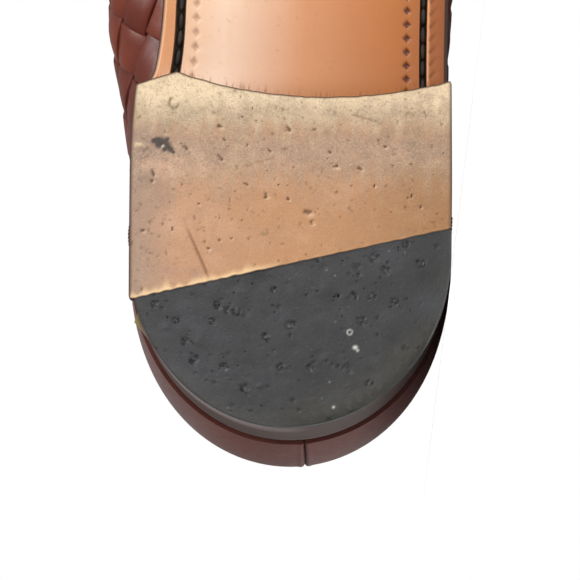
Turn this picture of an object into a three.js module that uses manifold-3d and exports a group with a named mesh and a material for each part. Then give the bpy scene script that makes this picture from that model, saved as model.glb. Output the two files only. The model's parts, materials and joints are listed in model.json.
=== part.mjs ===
// Woven tassel loafer, left shoe, lying on its outer side. Millimetres.
// The shoe is modelled standing: +Y towards the toe, +X to the inner side, Z = 0 on the ground, and Y = 0 at
// the back of the sole. At the end it is turned onto its outer side, with sole edge and upper on the floor.
import * as THREE from "three";
import { mergeVertices } from "three/addons/utils/BufferGeometryUtils.js";
import { ConvexHull } from "three/addons/math/ConvexHull.js";
import Module from "manifold-3d";

const wasm = await Module();
wasm.setup();

// Driving dimensions
const SOLE_LENGTH = 298;
const HEEL_CENTRE = 37; // centre of the sole's round back end, from the back
const TOE_CENTRE = 208; // centre of the sole's round front end, at the ball of the foot
const TOE_SWING = 5; // the toe's middle lies this far to the inner side of the heel's middle
const TOE_BLUNTNESS = { inner: 2.4, outer: 1.9 }; // 2 is an ellipse, more is squarer
const SOLE_THICKNESS = 5;
const SOLE_EDGE_ROUND = 0.8;
const WALL = 2; // woven leather with its lining
const COVER = 1.4; // counter and collar band
const COVER_SEAT = 0.6; // height of their inner face above the last
const GAP = 0.3; // between neighbouring pieces
const STRIP = 9.4; // width of a woven strip
const RELIEF = 0.9; // height of a strip's crown above the crossings' corners
const LACE = 3.2; // diameter of the tassel lace
const INNER = 1; // side of the shoe towards +X
const OUTER = -1;

// Plan of the sole: reach of its inner and outer edge from the heel's middle line, and how far it stands out
// past the upper.
const PLAN = [
  { along: 37, inner: 33.0, outer: 33.6, margin: 1.0 },
  { along: 55, inner: 32.9, outer: 33.8, margin: 1.0 },
  { along: 73, inner: 31.6, outer: 33.8, margin: 1.2 },
  { along: 79, inner: 28.7, outer: 33.8, margin: 1.25 },
  { along: 95, inner: 26.7, outer: 34.0, margin: 1.4 },
  { along: 122, inner: 25.5, outer: 36.8, margin: 1.8 },
  { along: 150, inner: 31.5, outer: 43.0, margin: 2.6 },
  { along: 178, inner: 41.5, outer: 50.5, margin: 3.6 },
  { along: 197, inner: 47.0, outer: 54.0, margin: 4.0 },
  { along: 208, inner: 48.6, outer: 54.6, margin: 4.2 },
];

// Side view of the sole: height of its underside above the ground. The seat is straight, and the tread is
// flat at the ball of the foot.
const PROFILE = [
  { along: -10, under: 24.8 },
  { along: 0, under: 24.5 },
  { along: 78, under: 22.0 },
  { along: 98, under: 18.2 },
  { along: 125, under: 10.2 },
  { along: 155, under: 2.6 },
  { along: 180, under: 0 },
  { along: 216, under: 0 },
  { along: 250, under: 2.2 },
  { along: 275, under: 5.8 },
  { along: 298, under: 10.5 },
  { along: 310, under: 13.5 },
];

// Sections of the upper: height of the crest of the closed last, how far the widest line swells out past the
// foot of the wall on each side, height of that line above the foot, and how square the shoulders are.
const BACK = { crest: 120, swell: 4.4, widest: 24, shoulders: 2.2 };
const SECTIONS = [
  { along: 37, crest: 119.5, swellInner: 1.2, swellOuter: 0.6, widest: 25, shoulders: 2.6 },
  { along: 52, crest: 117, swellInner: 2.2, swellOuter: 0.8, widest: 24, shoulders: 2.55 },
  { along: 73, crest: 113.3, swellInner: 6.0, swellOuter: 1.4, widest: 21, shoulders: 2.45 },
  { along: 79, crest: 112, swellInner: 9.9, swellOuter: 1.6, widest: 20.5, shoulders: 2.4 },
  { along: 95, crest: 106, swellInner: 14.2, swellOuter: 2.4, widest: 20, shoulders: 2.3 },
  { along: 122, crest: 96, swellInner: 15.2, swellOuter: 4.2, widest: 20, shoulders: 2.15 },
  { along: 150, crest: 84.5, swellInner: 11.5, swellOuter: 5.2, widest: 21, shoulders: 2.05 },
  { along: 178, crest: 68, swellInner: 6.6, swellOuter: 4.6, widest: 20, shoulders: 2.05 },
  { along: 208, crest: 54.5, swellInner: 3.2, swellOuter: 3.0, widest: 18, shoulders: 2.1 },
];
const TOE = { swell: 1.8, widest: 9, shoulders: 1.7, slope: -0.42 };

// Side view of the foot opening's edge
const TOPLINE = [
  { along: -12, height: 90 },
  { along: 0, height: 88.5 },
  { along: 22, height: 84.5 },
  { along: 46, height: 78 },
  { along: 75, height: 73.2 },
  { along: 100, height: 72.6 },
  { along: 122, height: 75 },
  { along: 138, height: 79.6 },
  { along: 148, height: 84.5 },
  { along: 153, height: 90 },
  { along: 158, height: 100 },
];
const COLLAR_BAND = 11; // width of the smooth band below the topline
const COVER_MARGIN = 4; // the strips lie flat under counter and collar, and this far past them

// Front edge of the heel counter: how far forward it reaches at each height above the foot of the wall
const COUNTER_EDGE = [
  { up: -10, along: 52 },
  { up: 0, along: 50 },
  { up: 24, along: 44.5 },
  { up: 50, along: 36 },
  { up: 75, along: 30 },
];
const BACK_SEAM = 0.5; // ridge of the seam down the middle of the counter

// Heel
const TOP_LIFT = 6; // leather and rubber walking layer
const LIFTS = 3; // leather layers above it
const LIFT_GROOVE = 0.2;
const HEEL_INSET = { side: 0.4, back: 1.6 }; // walking surface inside the seat's outline
const INSOLE_THICKNESS = 2.4;
const BREAST = { inner: 74.8, outer: 72.8, hollow: 4.2, nipFrom: 24.6, nipDepth: 2.1 };
const RUBBER_JOINT = { innerAlong: 27.1, outerAlong: 43.3 };

// Weave: on the vamp the strips cross the middle line at 45 degrees, and towards the heel the net turns.
const WOVEN_FROM = 30; // the woven part starts this far from the back, under the counter
const NET_TURN = THREE.MathUtils.degToRad(-20);
const NET_TURN_FROM = 150;
const NET_TURN_TO = 92;
const NET_MIDDLE = 30; // height above the foot where the net keeps its true length
const NET_CELLS = 62;
const NET_END = -10; // the net's calculated back end, well under the counter

// Lace and tassels, placed on the flat net: the ends have slumped towards the outer side, as the shoe lies.
const KNOT = { u: 166, width: 13, depth: 9, thick: 7.6 };
const LACE_BAR = [
  { u: 151.5, v: 18, lift: 4.1 },
  { u: 156, v: 15.5, lift: 4.3 },
  { u: 161, v: 12, lift: 4.6 },
  { u: 165.5, v: 7.2, lift: 4.8 },
];
const LACE_ENDS = {
  inner: [
    { u: 171.2, v: -3, lift: 4.6 },
    { u: 181, v: -7, lift: 3.2 },
    { u: 191, v: -6.5, lift: 4 },
    { u: 200.5, v: -2.5, lift: 7.6 },
  ],
  outer: [
    { u: 171.2, v: 3, lift: 4.6 },
    { u: 179, v: 6.5, lift: 3.2 },
    { u: 187, v: 11.5, lift: 4 },
    { u: 194.5, v: 17.5, lift: 7.6 },
  ],
};
const TASSEL = { length: 38, cap: 8, capRadius: 4.6, skirtRadius: 6, flatness: 0.78, lift: 8.6, strips: 8 };
const TASSEL_STRIP = { width: 3.2, thick: 1.8 };
const TASSEL_AIM = {
  inner: { from: { u: 201, v: -2.3 }, to: { u: 235, v: 13 } },
  outer: { from: { u: 195.1, v: 18 }, to: { u: 224, v: 40 } },
};

// A smooth function through a table's rows that keeps between neighbouring values.
function curve(rows, column, key = "along") {
  const x = rows.map((row) => row[key]);
  const y = rows.map((row) => row[column]);
  const last = rows.length - 1;
  const steepness = x.slice(1).map((_, i) => (y[i + 1] - y[i]) / (x[i + 1] - x[i]));
  const tangent = x.map((_, i) => {
    if (i === 0 || i === last) return steepness[Math.min(i, last - 1)];
    const [before, after] = [steepness[i - 1], steepness[i]];
    if (before * after <= 0) return 0;
    const [near, far] = [x[i] - x[i - 1], x[i + 1] - x[i]];
    const weight = [2 * far + near, far + 2 * near];
    return (weight[0] + weight[1]) / (weight[0] / before + weight[1] / after);
  });
  return (at) => {
    const clamped = Math.min(Math.max(at, x[0]), x[last]);
    let i = 0;
    while (i < last - 1 && clamped > x[i + 1]) i += 1;
    const step = x[i + 1] - x[i];
    const t = (clamped - x[i]) / step;
    const rise = t * t * (3 - 2 * t);
    const start = t * (1 - t) * (1 - t) * step;
    const end = t * t * (t - 1) * step;
    return y[i] + (y[i + 1] - y[i]) * rise + tangent[i] * start + tangent[i + 1] * end;
  };
}

const mix = (a, b, share) => a + (b - a) * share;
const smooth = (t) => {
  const c = Math.min(Math.max(t, 0), 1);
  return c * c * (3 - 2 * c);
};

const reachOf = { [INNER]: curve(PLAN, "inner"), [OUTER]: curve(PLAN, "outer") };
const marginAt = curve(PLAN, "margin");
const soleUnder = curve(PROFILE, "under");
const soleTop = (along) => soleUnder(along) + SOLE_THICKNESS;
const crestAt = curve(SECTIONS, "crest");
const swellOf = { [INNER]: curve(SECTIONS, "swellInner"), [OUTER]: curve(SECTIONS, "swellOuter") };
const widestAt = curve(SECTIONS, "widest");
const shouldersAt = curve(SECTIONS, "shoulders");
const toplineAt = curve(TOPLINE, "height");
const counterEdgeAt = curve(COUNTER_EDGE, "along", "up");
const spineAt = (along) => (TOE_SWING * Math.max(0, along - HEEL_CENTRE)) / (TOE_CENTRE - HEEL_CENTRE);

// The way round the shoe is measured from the middle of the back, on either side, to the middle of the toe.
const QUARTER_TURN = Math.PI / 2;
const HEEL_RUN = HEEL_CENTRE * QUARTER_TURN;
const TOE_START = HEEL_RUN + TOE_CENTRE - HEEL_CENTRE;
const TOE_RUN = 110;
const FULL_RUN = TOE_START + TOE_RUN;
const runAt = (along) => HEEL_RUN + along - HEEL_CENTRE;
const alongOf = (run) => HEEL_CENTRE + run - HEEL_RUN;

// Half a turn of sole edge, section sizes and direction at one place on the way round.
function stationAt(side, run) {
  if (run < HEEL_RUN) {
    const turn = run / HEEL_CENTRE;
    const [across, back] = [Math.sin(turn), Math.cos(turn)];
    const share = back * back;
    return {
      origin: [0, HEEL_CENTRE],
      direction: [side * across, -back],
      edge: 1 / Math.hypot(across / reachOf[side](HEEL_CENTRE), back / HEEL_CENTRE),
      margin: PLAN[0].margin,
      crest: BACK.crest,
      swell: mix(swellOf[side](HEEL_CENTRE), BACK.swell, share),
      widest: mix(widestAt(HEEL_CENTRE), BACK.widest, share),
      shoulders: mix(shouldersAt(HEEL_CENTRE), BACK.shoulders, share),
      slope: 0,
    };
  }
  if (run < TOE_START) {
    const along = alongOf(run);
    const spine = spineAt(along);
    return {
      origin: [spine, along],
      direction: [side, 0],
      edge: reachOf[side](along) - side * spine,
      margin: marginAt(along),
      crest: crestAt(along),
      swell: swellOf[side](along),
      widest: widestAt(along),
      shoulders: shouldersAt(along),
      slope: 0,
    };
  }
  const turn = Math.min((run - TOE_START) / TOE_RUN, 1) * QUARTER_TURN;
  const [across, ahead] = [Math.cos(turn), Math.sin(turn)];
  const power = side === INNER ? TOE_BLUNTNESS.inner : TOE_BLUNTNESS.outer;
  const halfWidth = reachOf[side](TOE_CENTRE) - side * TOE_SWING;
  const sum = (across / halfWidth) ** power + (ahead / (SOLE_LENGTH - TOE_CENTRE)) ** power;
  const share = ahead * ahead;
  return {
    origin: [TOE_SWING, TOE_CENTRE],
    direction: [side * across, ahead],
    edge: sum ** (-1 / power),
    margin: marginAt(TOE_CENTRE),
    crest: crestAt(TOE_CENTRE),
    swell: mix(swellOf[side](TOE_CENTRE), TOE.swell, share),
    widest: mix(widestAt(TOE_CENTRE), TOE.widest, share),
    shoulders: mix(shouldersAt(TOE_CENTRE), TOE.shoulders, share),
    slope: TOE.slope * ahead,
  };
}

// A rib is the upper's section there, from its foot on the sole up to the crest: reach from the spine,
// height, and length measured along it.
const LOW_STEPS = 8;
const HIGH_STEPS = 26;
function ribAt(side, run) {
  const station = stationAt(side, run);
  const footReach = station.edge - station.margin;
  const footAlong = station.origin[1] + station.direction[1] * footReach;
  const footHeight = soleTop(footAlong) + GAP;
  const wideReach = footReach + station.swell;
  const wideHeight = footHeight + station.widest;
  const points = [];
  for (let i = 0; i <= LOW_STEPS; i += 1) {
    const t = i / LOW_STEPS;
    points.push([footReach + station.swell * (1 - (1 - t) ** 2), footHeight + station.widest * t]);
  }
  for (let i = 1; i <= HIGH_STEPS; i += 1) {
    const angle = (i / HIGH_STEPS) * QUARTER_TURN;
    const power = 2 / station.shoulders;
    const reach = i === HIGH_STEPS ? 0 : wideReach * Math.cos(angle) ** power;
    const fall = station.slope * reach * (1 - reach / wideReach);
    points.push([reach, wideHeight + (station.crest - wideHeight) * Math.sin(angle) ** power + fall]);
  }
  const lengths = [0];
  for (let i = 1; i < points.length; i += 1) {
    const [from, to] = [points[i - 1], points[i]];
    lengths.push(lengths[i - 1] + Math.hypot(to[0] - from[0], to[1] - from[1]));
  }
  return { ...station, points, lengths, girth: lengths.at(-1) };
}

// The point of a rib at a length above its foot. Below the foot the wall runs straight on.
function pointOnRib(rib, up) {
  const { points, lengths } = rib;
  let i = 0;
  while (i < lengths.length - 2 && up > lengths[i + 1]) i += 1;
  const t = (up - lengths[i]) / (lengths[i + 1] - lengths[i]);
  const reach = mix(points[i][0], points[i + 1][0], t);
  return new THREE.Vector3(
    rib.origin[0] + rib.direction[0] * reach,
    rib.origin[1] + rib.direction[1] * reach,
    mix(points[i][1], points[i + 1][1], t),
  );
}

// The surface of the last beside the heel and waist, lifted outwards along its normal. A negative run is on
// the outer side.
const PROBE = 0.5;
function wallPoint(signedRun, up, lift) {
  const at = (run, height) => pointOnRib(ribAt(run < 0 ? OUTER : INNER, Math.abs(run)), height);
  const forward = at(signedRun + PROBE, up).sub(at(signedRun - PROBE, up));
  const upward = at(signedRun, up + PROBE).sub(at(signedRun, up - PROBE));
  return at(signedRun, up).addScaledVector(forward.cross(upward).normalize(), lift);
}

// Height above the foot where a rib meets an edge drawn in side view, or the whole rib where it stays below.
function edgeUp(rib, heightAt) {
  const alongAt = (reach) => rib.origin[1] + rib.direction[1] * reach;
  const over = rib.points.map(([reach, height]) => height - heightAt(alongAt(reach)));
  const i = over.findIndex((value, k) => k > LOW_STEPS && value > 0);
  if (i < 0) return rib.girth;
  return mix(rib.lengths[i - 1], rib.lengths[i], over[i - 1] / (over[i - 1] - over[i]));
}

// The flat net of the weave: u runs along the shoe, v across from the crest, positive on the outer side.
const netBend = {};
for (const side of [INNER, OUTER]) {
  const girthAt = (along) => ribAt(side, runAt(along)).girth;
  const startTurn = Math.atan(girthAt(NET_TURN_FROM - 2) - girthAt(NET_TURN_FROM - 1));
  const middle = [[NET_TURN_FROM, girthAt(NET_TURN_FROM) - NET_MIDDLE]];
  for (let along = NET_TURN_FROM; along > NET_END - 5; along -= 1) {
    const share = smooth((NET_TURN_FROM - along) / (NET_TURN_FROM - NET_TURN_TO));
    const turn = mix(startTurn, NET_TURN, share);
    const [u, v] = middle.at(-1);
    middle.push([u - Math.cos(turn), v + Math.sin(turn)]);
  }
  netBend[side] = middle;
}

function toNet(side, along, up) {
  if (along >= NET_TURN_FROM) return [along, ribAt(side, runAt(along)).girth - up];
  const back = NET_TURN_FROM - along;
  const i = Math.floor(back);
  const turn = NET_TURN * smooth(back / (NET_TURN_FROM - NET_TURN_TO));
  const [from, to] = [netBend[side][i], netBend[side][i + 1]];
  const height = up - NET_MIDDLE;
  return [
    mix(from[0], to[0], back - i) - height * Math.sin(turn),
    mix(from[1], to[1], back - i) - height * Math.cos(turn),
  ];
}

// Where a point of the net lies on the shoe.
function fromNet(u, v) {
  const side = v > 0 ? OUTER : INNER;
  const across = Math.abs(v);
  if (u >= TOE_CENTRE) {
    const away = Math.hypot(u - TOE_CENTRE, across);
    const turn = away < 1e-9 ? 0 : Math.atan2(u - TOE_CENTRE, across);
    const run = TOE_START + (turn / QUARTER_TURN) * TOE_RUN;
    const rib = ribAt(side, run);
    return { side, along: alongOf(run), run, up: rib.girth - away, rib };
  }
  let along = Math.max(u, NET_END);
  let up = ribAt(side, runAt(along)).girth - across;
  for (let i = 0; i < 9 && u < NET_TURN_FROM + 20; i += 1) {
    const here = toNet(side, along, up);
    const aheadOf = toNet(side, along + PROBE, up);
    const above = toNet(side, along, up + PROBE);
    const [uAlong, vAlong] = [aheadOf[0] - here[0], aheadOf[1] - here[1]];
    const [uUp, vUp] = [above[0] - here[0], above[1] - here[1]];
    const [uMiss, vMiss] = [u - here[0], across - here[1]];
    const determinant = uAlong * vUp - uUp * vAlong;
    along += (PROBE * (uMiss * vUp - vMiss * uUp)) / determinant;
    up += (PROBE * (vMiss * uAlong - uMiss * vAlong)) / determinant;
    along = Math.min(Math.max(along, NET_END), TOE_CENTRE);
  }
  const run = Math.max(runAt(along), 0);
  return { side, along, run, up, rib: ribAt(side, run) };
}

function netPoint(u, v, lift) {
  const at = (a, b) => {
    const place = fromNet(a, b);
    return pointOnRib(place.rib, place.up);
  };
  const alongNet = at(u + PROBE, v).sub(at(u - PROBE, v));
  const acrossNet = at(u, v + PROBE).sub(at(u, v - PROBE));
  return at(u, v).addScaledVector(alongNet.cross(acrossNet).normalize(), lift);
}

// Solids
function solidOf(geometry) {
  const bare = geometry.index ? geometry.toNonIndexed() : geometry.clone();
  bare.deleteAttribute("normal");
  bare.deleteAttribute("uv");
  const merged = mergeVertices(bare, 1e-4);
  const triVerts = new Uint32Array(merged.index.array);
  const vertProperties = merged.attributes.position.array;
  return new wasm.Manifold(new wasm.Mesh({ numProp: 3, vertProperties, triVerts }));
}

function geometryOf(solid) {
  const mesh = solid.getMesh();
  return new THREE.BufferGeometry()
    .setAttribute("position", new THREE.BufferAttribute(new Float32Array(mesh.vertProperties), 3))
    .setIndex(new THREE.BufferAttribute(new Uint32Array(mesh.triVerts), 1));
}

function geometryFrom(points, triangles) {
  const numbers = points.flatMap((point) => point.toArray());
  return new THREE.BufferGeometry()
    .setAttribute("position", new THREE.Float32BufferAttribute(numbers, 3))
    .setIndex(triangles.flat());
}

// A sheet with thickness: the outer face, the inner face turned round, and a wall along each free edge.
// Points of the outer face that fall together are one point.
function sheetGeometry(outer, inner, triangles) {
  const known = new Map();
  const same = outer.map((point, i) => {
    const key = point.toArray().map((value) => value.toFixed(3)).join();
    if (!known.has(key)) known.set(key, i);
    return known.get(key);
  });
  const front = triangles
    .map((triangle) => triangle.map((i) => same[i]))
    .filter(([a, b, c]) => a !== b && b !== c && c !== a);
  const edges = new Map();
  for (const [a, b, c] of front) {
    for (const [from, to] of [[a, b], [b, c], [c, a]]) {
      if (!edges.delete(`${to},${from}`)) edges.set(`${from},${to}`, [from, to]);
    }
  }
  const shift = outer.length;
  const rim = [...edges.values()].flatMap(([from, to]) => [
    [from, from + shift, to + shift],
    [from, to + shift, to],
  ]);
  const back = front.map(([a, b, c]) => [a + shift, c + shift, b + shift]);
  return geometryFrom([...outer, ...inner], [...front, ...back, ...rim]);
}

// Triangles of a grid whose points are stored row by row.
function gridTriangles(rows, columns) {
  const triangles = [];
  for (let i = 0; i < rows - 1; i += 1) {
    for (let j = 0; j < columns - 1; j += 1) {
      const [a, b] = [i * columns + j, (i + 1) * columns + j];
      triangles.push([a, b, b + 1], [a, b + 1, a + 1]);
    }
  }
  return triangles;
}

// A block as wide as the shoe, whose outline in side view is given as [along, height] pairs.
const BLOCK_HALF = 110;
function sideBlock(outline) {
  const shape = new THREE.Shape(outline.map(([along, height]) => new THREE.Vector2(along, height)));
  const geometry = new THREE.ExtrudeGeometry(shape, { depth: 2 * BLOCK_HALF, bevelEnabled: false });
  geometry.translate(0, 0, -BLOCK_HALF);
  const toShoe = new THREE.Matrix4().makeBasis(
    new THREE.Vector3(0, 1, 0),
    new THREE.Vector3(0, 0, 1),
    new THREE.Vector3(1, 0, 0),
  );
  return solidOf(geometry.applyMatrix4(toShoe));
}

const steps = (from, to, count) => Array.from({ length: count + 1 }, (_, i) => mix(from, to, i / count));
const SKY = 200;
const DEEP = -40;

// The topline as seen from the side, moved square to itself by a distance: positive is down and forward.
function toplineOutline(moved) {
  const points = steps(TOPLINE[0].along, TOPLINE.at(-1).along, 26).map((along) => {
    const tilt = (toplineAt(along + PROBE) - toplineAt(along - PROBE)) / (2 * PROBE);
    const size = Math.hypot(1, tilt);
    return [along + (moved * tilt) / size, toplineAt(along) - moved / size];
  });
  return points.filter(([along], i) => i === 0 || along > points[i - 1][0]);
}

function aboveTopline(moved) {
  const line = toplineOutline(moved);
  return sideBlock([[-60, line[0][1]], ...line, [line.at(-1)[0], SKY], [-60, SKY]]);
}

function belowSole(lift) {
  const line = steps(-10, 310, 40).map((along) => [along, soleTop(along) + lift]);
  return sideBlock([[-60, DEEP], [320, DEEP], ...line.reverse(), [-60, line.at(-1)[1]]]);
}

const outlineRows = (moved) => toplineOutline(moved).map(([along, height]) => ({ along, height }));
const collarEdge = curve(outlineRows(COLLAR_BAND), "height");
const THROAT = steps(120, 170, 200).find((along) => crestAt(along) < toplineAt(along));
const collarFront = steps(THROAT, 190, 200).find((along) => crestAt(along) < collarEdge(along));

// Outsole and insole: a ladder of rungs from the outer to the inner edge, thick between two heights.
const RUNGS = [
  ...steps(0, HEEL_RUN, 8),
  ...steps(HEEL_RUN, TOE_START, 15).slice(1),
  ...steps(TOE_START, FULL_RUN, 11).slice(1),
];
function edgePoint(side, run, inset) {
  const station = stationAt(side, run);
  const reach = station.edge - inset(station);
  return [station.origin[0] + station.direction[0] * reach, station.origin[1] + station.direction[1] * reach];
}

function ladderGeometry(layers, across) {
  const columns = across + 1;
  const faces = layers.map(({ inset, height }) =>
    RUNGS.map((run) => {
      const [outer, inner] = [OUTER, INNER].map((side) => edgePoint(side, run, inset));
      return steps(0, 1, across).map((t) => {
        const along = mix(outer[1], inner[1], t);
        return new THREE.Vector3(mix(outer[0], inner[0], t), along, height(along));
      });
    }),
  );
  const size = RUNGS.length * columns;
  const points = faces.flat(2);
  const cap = gridTriangles(RUNGS.length, columns);
  const triangles = cap.map(([a, b, c]) => [a, b, c]);
  const top = (layers.length - 1) * size;
  triangles.push(...cap.map(([a, b, c]) => [a + top, c + top, b + top]));
  for (let layer = 0; layer < layers.length - 1; layer += 1) {
    for (let i = 0; i < RUNGS.length - 1; i += 1) {
      for (const [column, flip] of [[0, false], [across, true]]) {
        const low = layer * size + i * columns + column;
        const quad = [low, low + columns, low + columns + size, low + size];
        const turned = flip ? quad : [...quad].reverse();
        triangles.push([turned[0], turned[1], turned[2]], [turned[0], turned[2], turned[3]]);
      }
    }
  }
  return geometryFrom(points, triangles);
}

// The two ends of a ladder are single points, so its triangles there have no area and are dropped.
function cleaned(geometry) {
  const merged = mergeVertices(geometry, 1e-4);
  const index = Array.from(merged.index.array);
  const kept = [];
  for (let i = 0; i < index.length; i += 3) {
    const [a, b, c] = index.slice(i, i + 3);
    if (a !== b && b !== c && c !== a) kept.push([a, b, c]);
  }
  const position = merged.attributes.position;
  const corner = (_, i) => new THREE.Vector3().fromBufferAttribute(position, i);
  const points = Array.from({ length: position.count }, corner);
  return geometryFrom(points, kept);
}

function makeOutsole() {
  const edgeRing = () => 0;
  const layers = [
    { inset: () => SOLE_EDGE_ROUND, height: soleUnder },
    { inset: edgeRing, height: (along) => soleUnder(along) + SOLE_EDGE_ROUND },
    { inset: edgeRing, height: soleTop },
  ];
  return cleaned(ladderGeometry(layers, 4));
}

function makeInsole() {
  const inside = (station) => station.margin + WALL + 1.6 + 0.05 * station.swell;
  const layers = [
    { inset: inside, height: (along) => soleTop(along) + GAP },
    { inset: inside, height: (along) => soleTop(along) + GAP + INSOLE_THICKNESS },
  ];
  return cleaned(ladderGeometry(layers, 2));
}

// Heel: the seat's outline, closed at the front by a hollow breast whose inner corner is nipped off.
function heelPlan(inset, backInset) {
  const sidePoints = (side) => {
    const corner = side === INNER ? BREAST.inner - BREAST.nipDepth : BREAST.outer;
    const edgeAt = (along) => side * (reachOf[side](along) - inset);
    const straight = steps(corner, HEEL_CENTRE, 4).map((along) => [edgeAt(along), along]);
    const round = steps(0, QUARTER_TURN, 8).slice(1).map((turn) => [
      side * (reachOf[side](HEEL_CENTRE) - inset) * Math.cos(turn),
      HEEL_CENTRE - (HEEL_CENTRE - inset - backInset) * Math.sin(turn),
    ]);
    return [...straight, ...round];
  };
  const outer = sidePoints(OUTER);
  const inner = sidePoints(INNER).slice(0, -1).reverse();
  const [from, to] = [BREAST.nipFrom, outer[0][0]];
  const breast = steps(0, 1, 9).slice(0, -1).map((t) => {
    const bow = 4 * t * (1 - t);
    return [mix(from, to, t), mix(BREAST.inner, BREAST.outer, t) - BREAST.hollow * bow];
  });
  return [...outer, ...inner, ...breast];
}

// Rings of one plan at several heights, closed at both ends.
function stackGeometry(levels) {
  const rings = levels.map(({ inset, back, height }) =>
    heelPlan(inset, back).map(([x, y]) => new THREE.Vector3(x, y, height(y))),
  );
  const count = rings[0].length;
  const flat = rings[0].map((p) => new THREE.Vector2(p.x, p.y));
  const cap = THREE.ShapeUtils.triangulateShape(flat, []);
  const top = (rings.length - 1) * count;
  const triangles = [
    ...cap.map(([a, b, c]) => [a, c, b]),
    ...cap.map(([a, b, c]) => [a + top, b + top, c + top]),
  ];
  for (let ring = 0; ring < rings.length - 1; ring += 1) {
    for (let i = 0; i < count; i += 1) {
      const [a, b] = [ring * count + i, ring * count + ((i + 1) % count)];
      triangles.push([a, b, b + count], [a, b + count, a + count]);
    }
  }
  return geometryFrom(rings.flat(), triangles);
}

function makeHeelStack() {
  const under = TOP_LIFT + GAP;
  const level = (share, groove) => ({
    inset: mix(HEEL_INSET.side, 0, share) + groove,
    back: mix(HEEL_INSET.back, 0, share),
    height: (along) => mix(under, soleUnder(along) - GAP, share),
  });
  const grooves = steps(0, 1, LIFTS).slice(1, -1);
  const levels = [
    level(0, 0),
    ...grooves.flatMap((at) => [level(at - 0.03, 0), level(at, LIFT_GROOVE), level(at + 0.03, 0)]),
    level(1, 0),
  ];
  return stackGeometry(levels);
}

function makeWalkingLayer() {
  const flat = (z) => () => z;
  const { side, back } = HEEL_INSET;
  const bevel = 0.5;
  return solidOf(
    stackGeometry([
      { inset: side + bevel, back, height: flat(0) },
      { inset: side, back, height: flat(bevel) },
      { inset: side, back, height: flat(TOP_LIFT) },
    ]),
  );
}

// Everything behind the slanting joint between leather and rubber, moved forward by a distance.
function behindJoint(forward) {
  const slope = (RUBBER_JOINT.innerAlong - RUBBER_JOINT.outerAlong) / (2 * HEEL_CENTRE);
  const middle = (RUBBER_JOINT.innerAlong + RUBBER_JOINT.outerAlong) / 2 + forward;
  const half = 60;
  const shape = new THREE.Shape([
    new THREE.Vector2(-half, -half),
    new THREE.Vector2(half, -half),
    new THREE.Vector2(half, middle + slope * half),
    new THREE.Vector2(-half, middle - slope * half),
  ]);
  const geometry = new THREE.ExtrudeGeometry(shape, { depth: 40, bevelEnabled: false });
  return solidOf(geometry.translate(0, 0, -20));
}

// Upper: the woven wall in front, a plain wall round the heel, cut along the topline and along the sole.
const flatEdge = curve(outlineRows(COLLAR_BAND + COVER_MARGIN), "height");
const covered = ({ along, up, rib }) => {
  const point = pointOnRib(rib, up);
  return along < counterEdgeAt(up) + COVER_MARGIN || point.z > flatEdge(point.y);
};

const CELL_CORNERS = [[-1, -1], [1, -1], [1, 1], [-1, 1]];
function makeWovenSheet() {
  const half = STRIP / (2 * Math.SQRT2);
  const netAt = (i, j) => [TOE_CENTRE + (i + j) * half, (i - j) * half];
  const points = [];
  const known = new Map();
  const pointAt = (i, j, face, lift) => {
    const key = `${face},${i},${j}`;
    if (!known.has(key)) {
      known.set(key, points.length);
      points.push(netPoint(...netAt(i, j), lift));
    }
    return known.get(key);
  };
  const outerAt = (i, j, crown) => {
    const flat = covered(fromNet(...netAt(i, j)));
    return pointAt(i, j, "outer", flat ? 0 : RELIEF * crown);
  };
  const innerAt = (i, j) => pointAt(i, j, "inner", -WALL);
  const woven = new Map();
  const isWoven = (i, j) => {
    const key = `${i},${j}`;
    if (!woven.has(key)) {
      const { along, up, rib } = fromNet(...netAt(i, j));
      const top = along < TOE_CENTRE ? edgeUp(rib, toplineAt) : rib.girth;
      const open = top < rib.girth - 1;
      woven.set(key, along > WOVEN_FROM && up > -4 && (!open || up < top + 0.7 * STRIP));
    }
    return woven.get(key);
  };
  const triangles = [];
  for (let i = 1 - NET_CELLS; i < NET_CELLS; i += 2) {
    for (let j = 1 - NET_CELLS; j < NET_CELLS; j += 2) {
      if (!isWoven(i, j)) continue;
      const middle = outerAt(i, j, 1);
      const corners = CELL_CORNERS.map(([di, dj]) => outerAt(i + di, j + dj, 0));
      const inside = CELL_CORNERS.map(([di, dj]) => innerAt(i + di, j + dj));
      triangles.push([inside[0], inside[1], inside[2]], [inside[0], inside[2], inside[3]]);
      CELL_CORNERS.forEach(([di, dj], k) => {
        const next = (k + 1) % 4;
        const [ei, ej] = [(di + CELL_CORNERS[next][0]) / 2, (dj + CELL_CORNERS[next][1]) / 2];
        const edge = outerAt(i + ei, j + ej, 0.55);
        triangles.push([middle, edge, corners[k]], [middle, corners[next], edge]);
        if (isWoven(i + 2 * ei, j + 2 * ej)) return;
        triangles.push(
          [corners[k], edge, inside[k]],
          [edge, inside[next], inside[k]],
          [edge, corners[next], inside[next]],
        );
      });
    }
  }
  return geometryFrom(points, triangles);
}

function wallSheet(runs, upsAt, lowLift, highLift) {
  const grid = runs.map((run) => upsAt(run).map((up) => [run, up]));
  const lifted = (extra) => grid.flat().map(([run, up]) => wallPoint(run, up, extra(run)));
  const columns = grid[0].length;
  const triangles = gridTriangles(runs.length, columns);
  return sheetGeometry(lifted(highLift), lifted(lowLift), triangles);
}

function makeUpper() {
  const inset = 0.25;
  const reach = runAt(WOVEN_FROM + 14);
  const heelWall = wallSheet(
    steps(-reach, reach, 22),
    (run) => steps(-3, edgeUp(ribAt(run < 0 ? OUTER : INNER, Math.abs(run)), toplineAt) + 5, 5),
    () => inset - WALL,
    () => -inset,
  );
  return solidOf(makeWovenSheet())
    .add(solidOf(heelWall))
    .subtract(aboveTopline(0))
    .subtract(belowSole(GAP));
}

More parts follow.
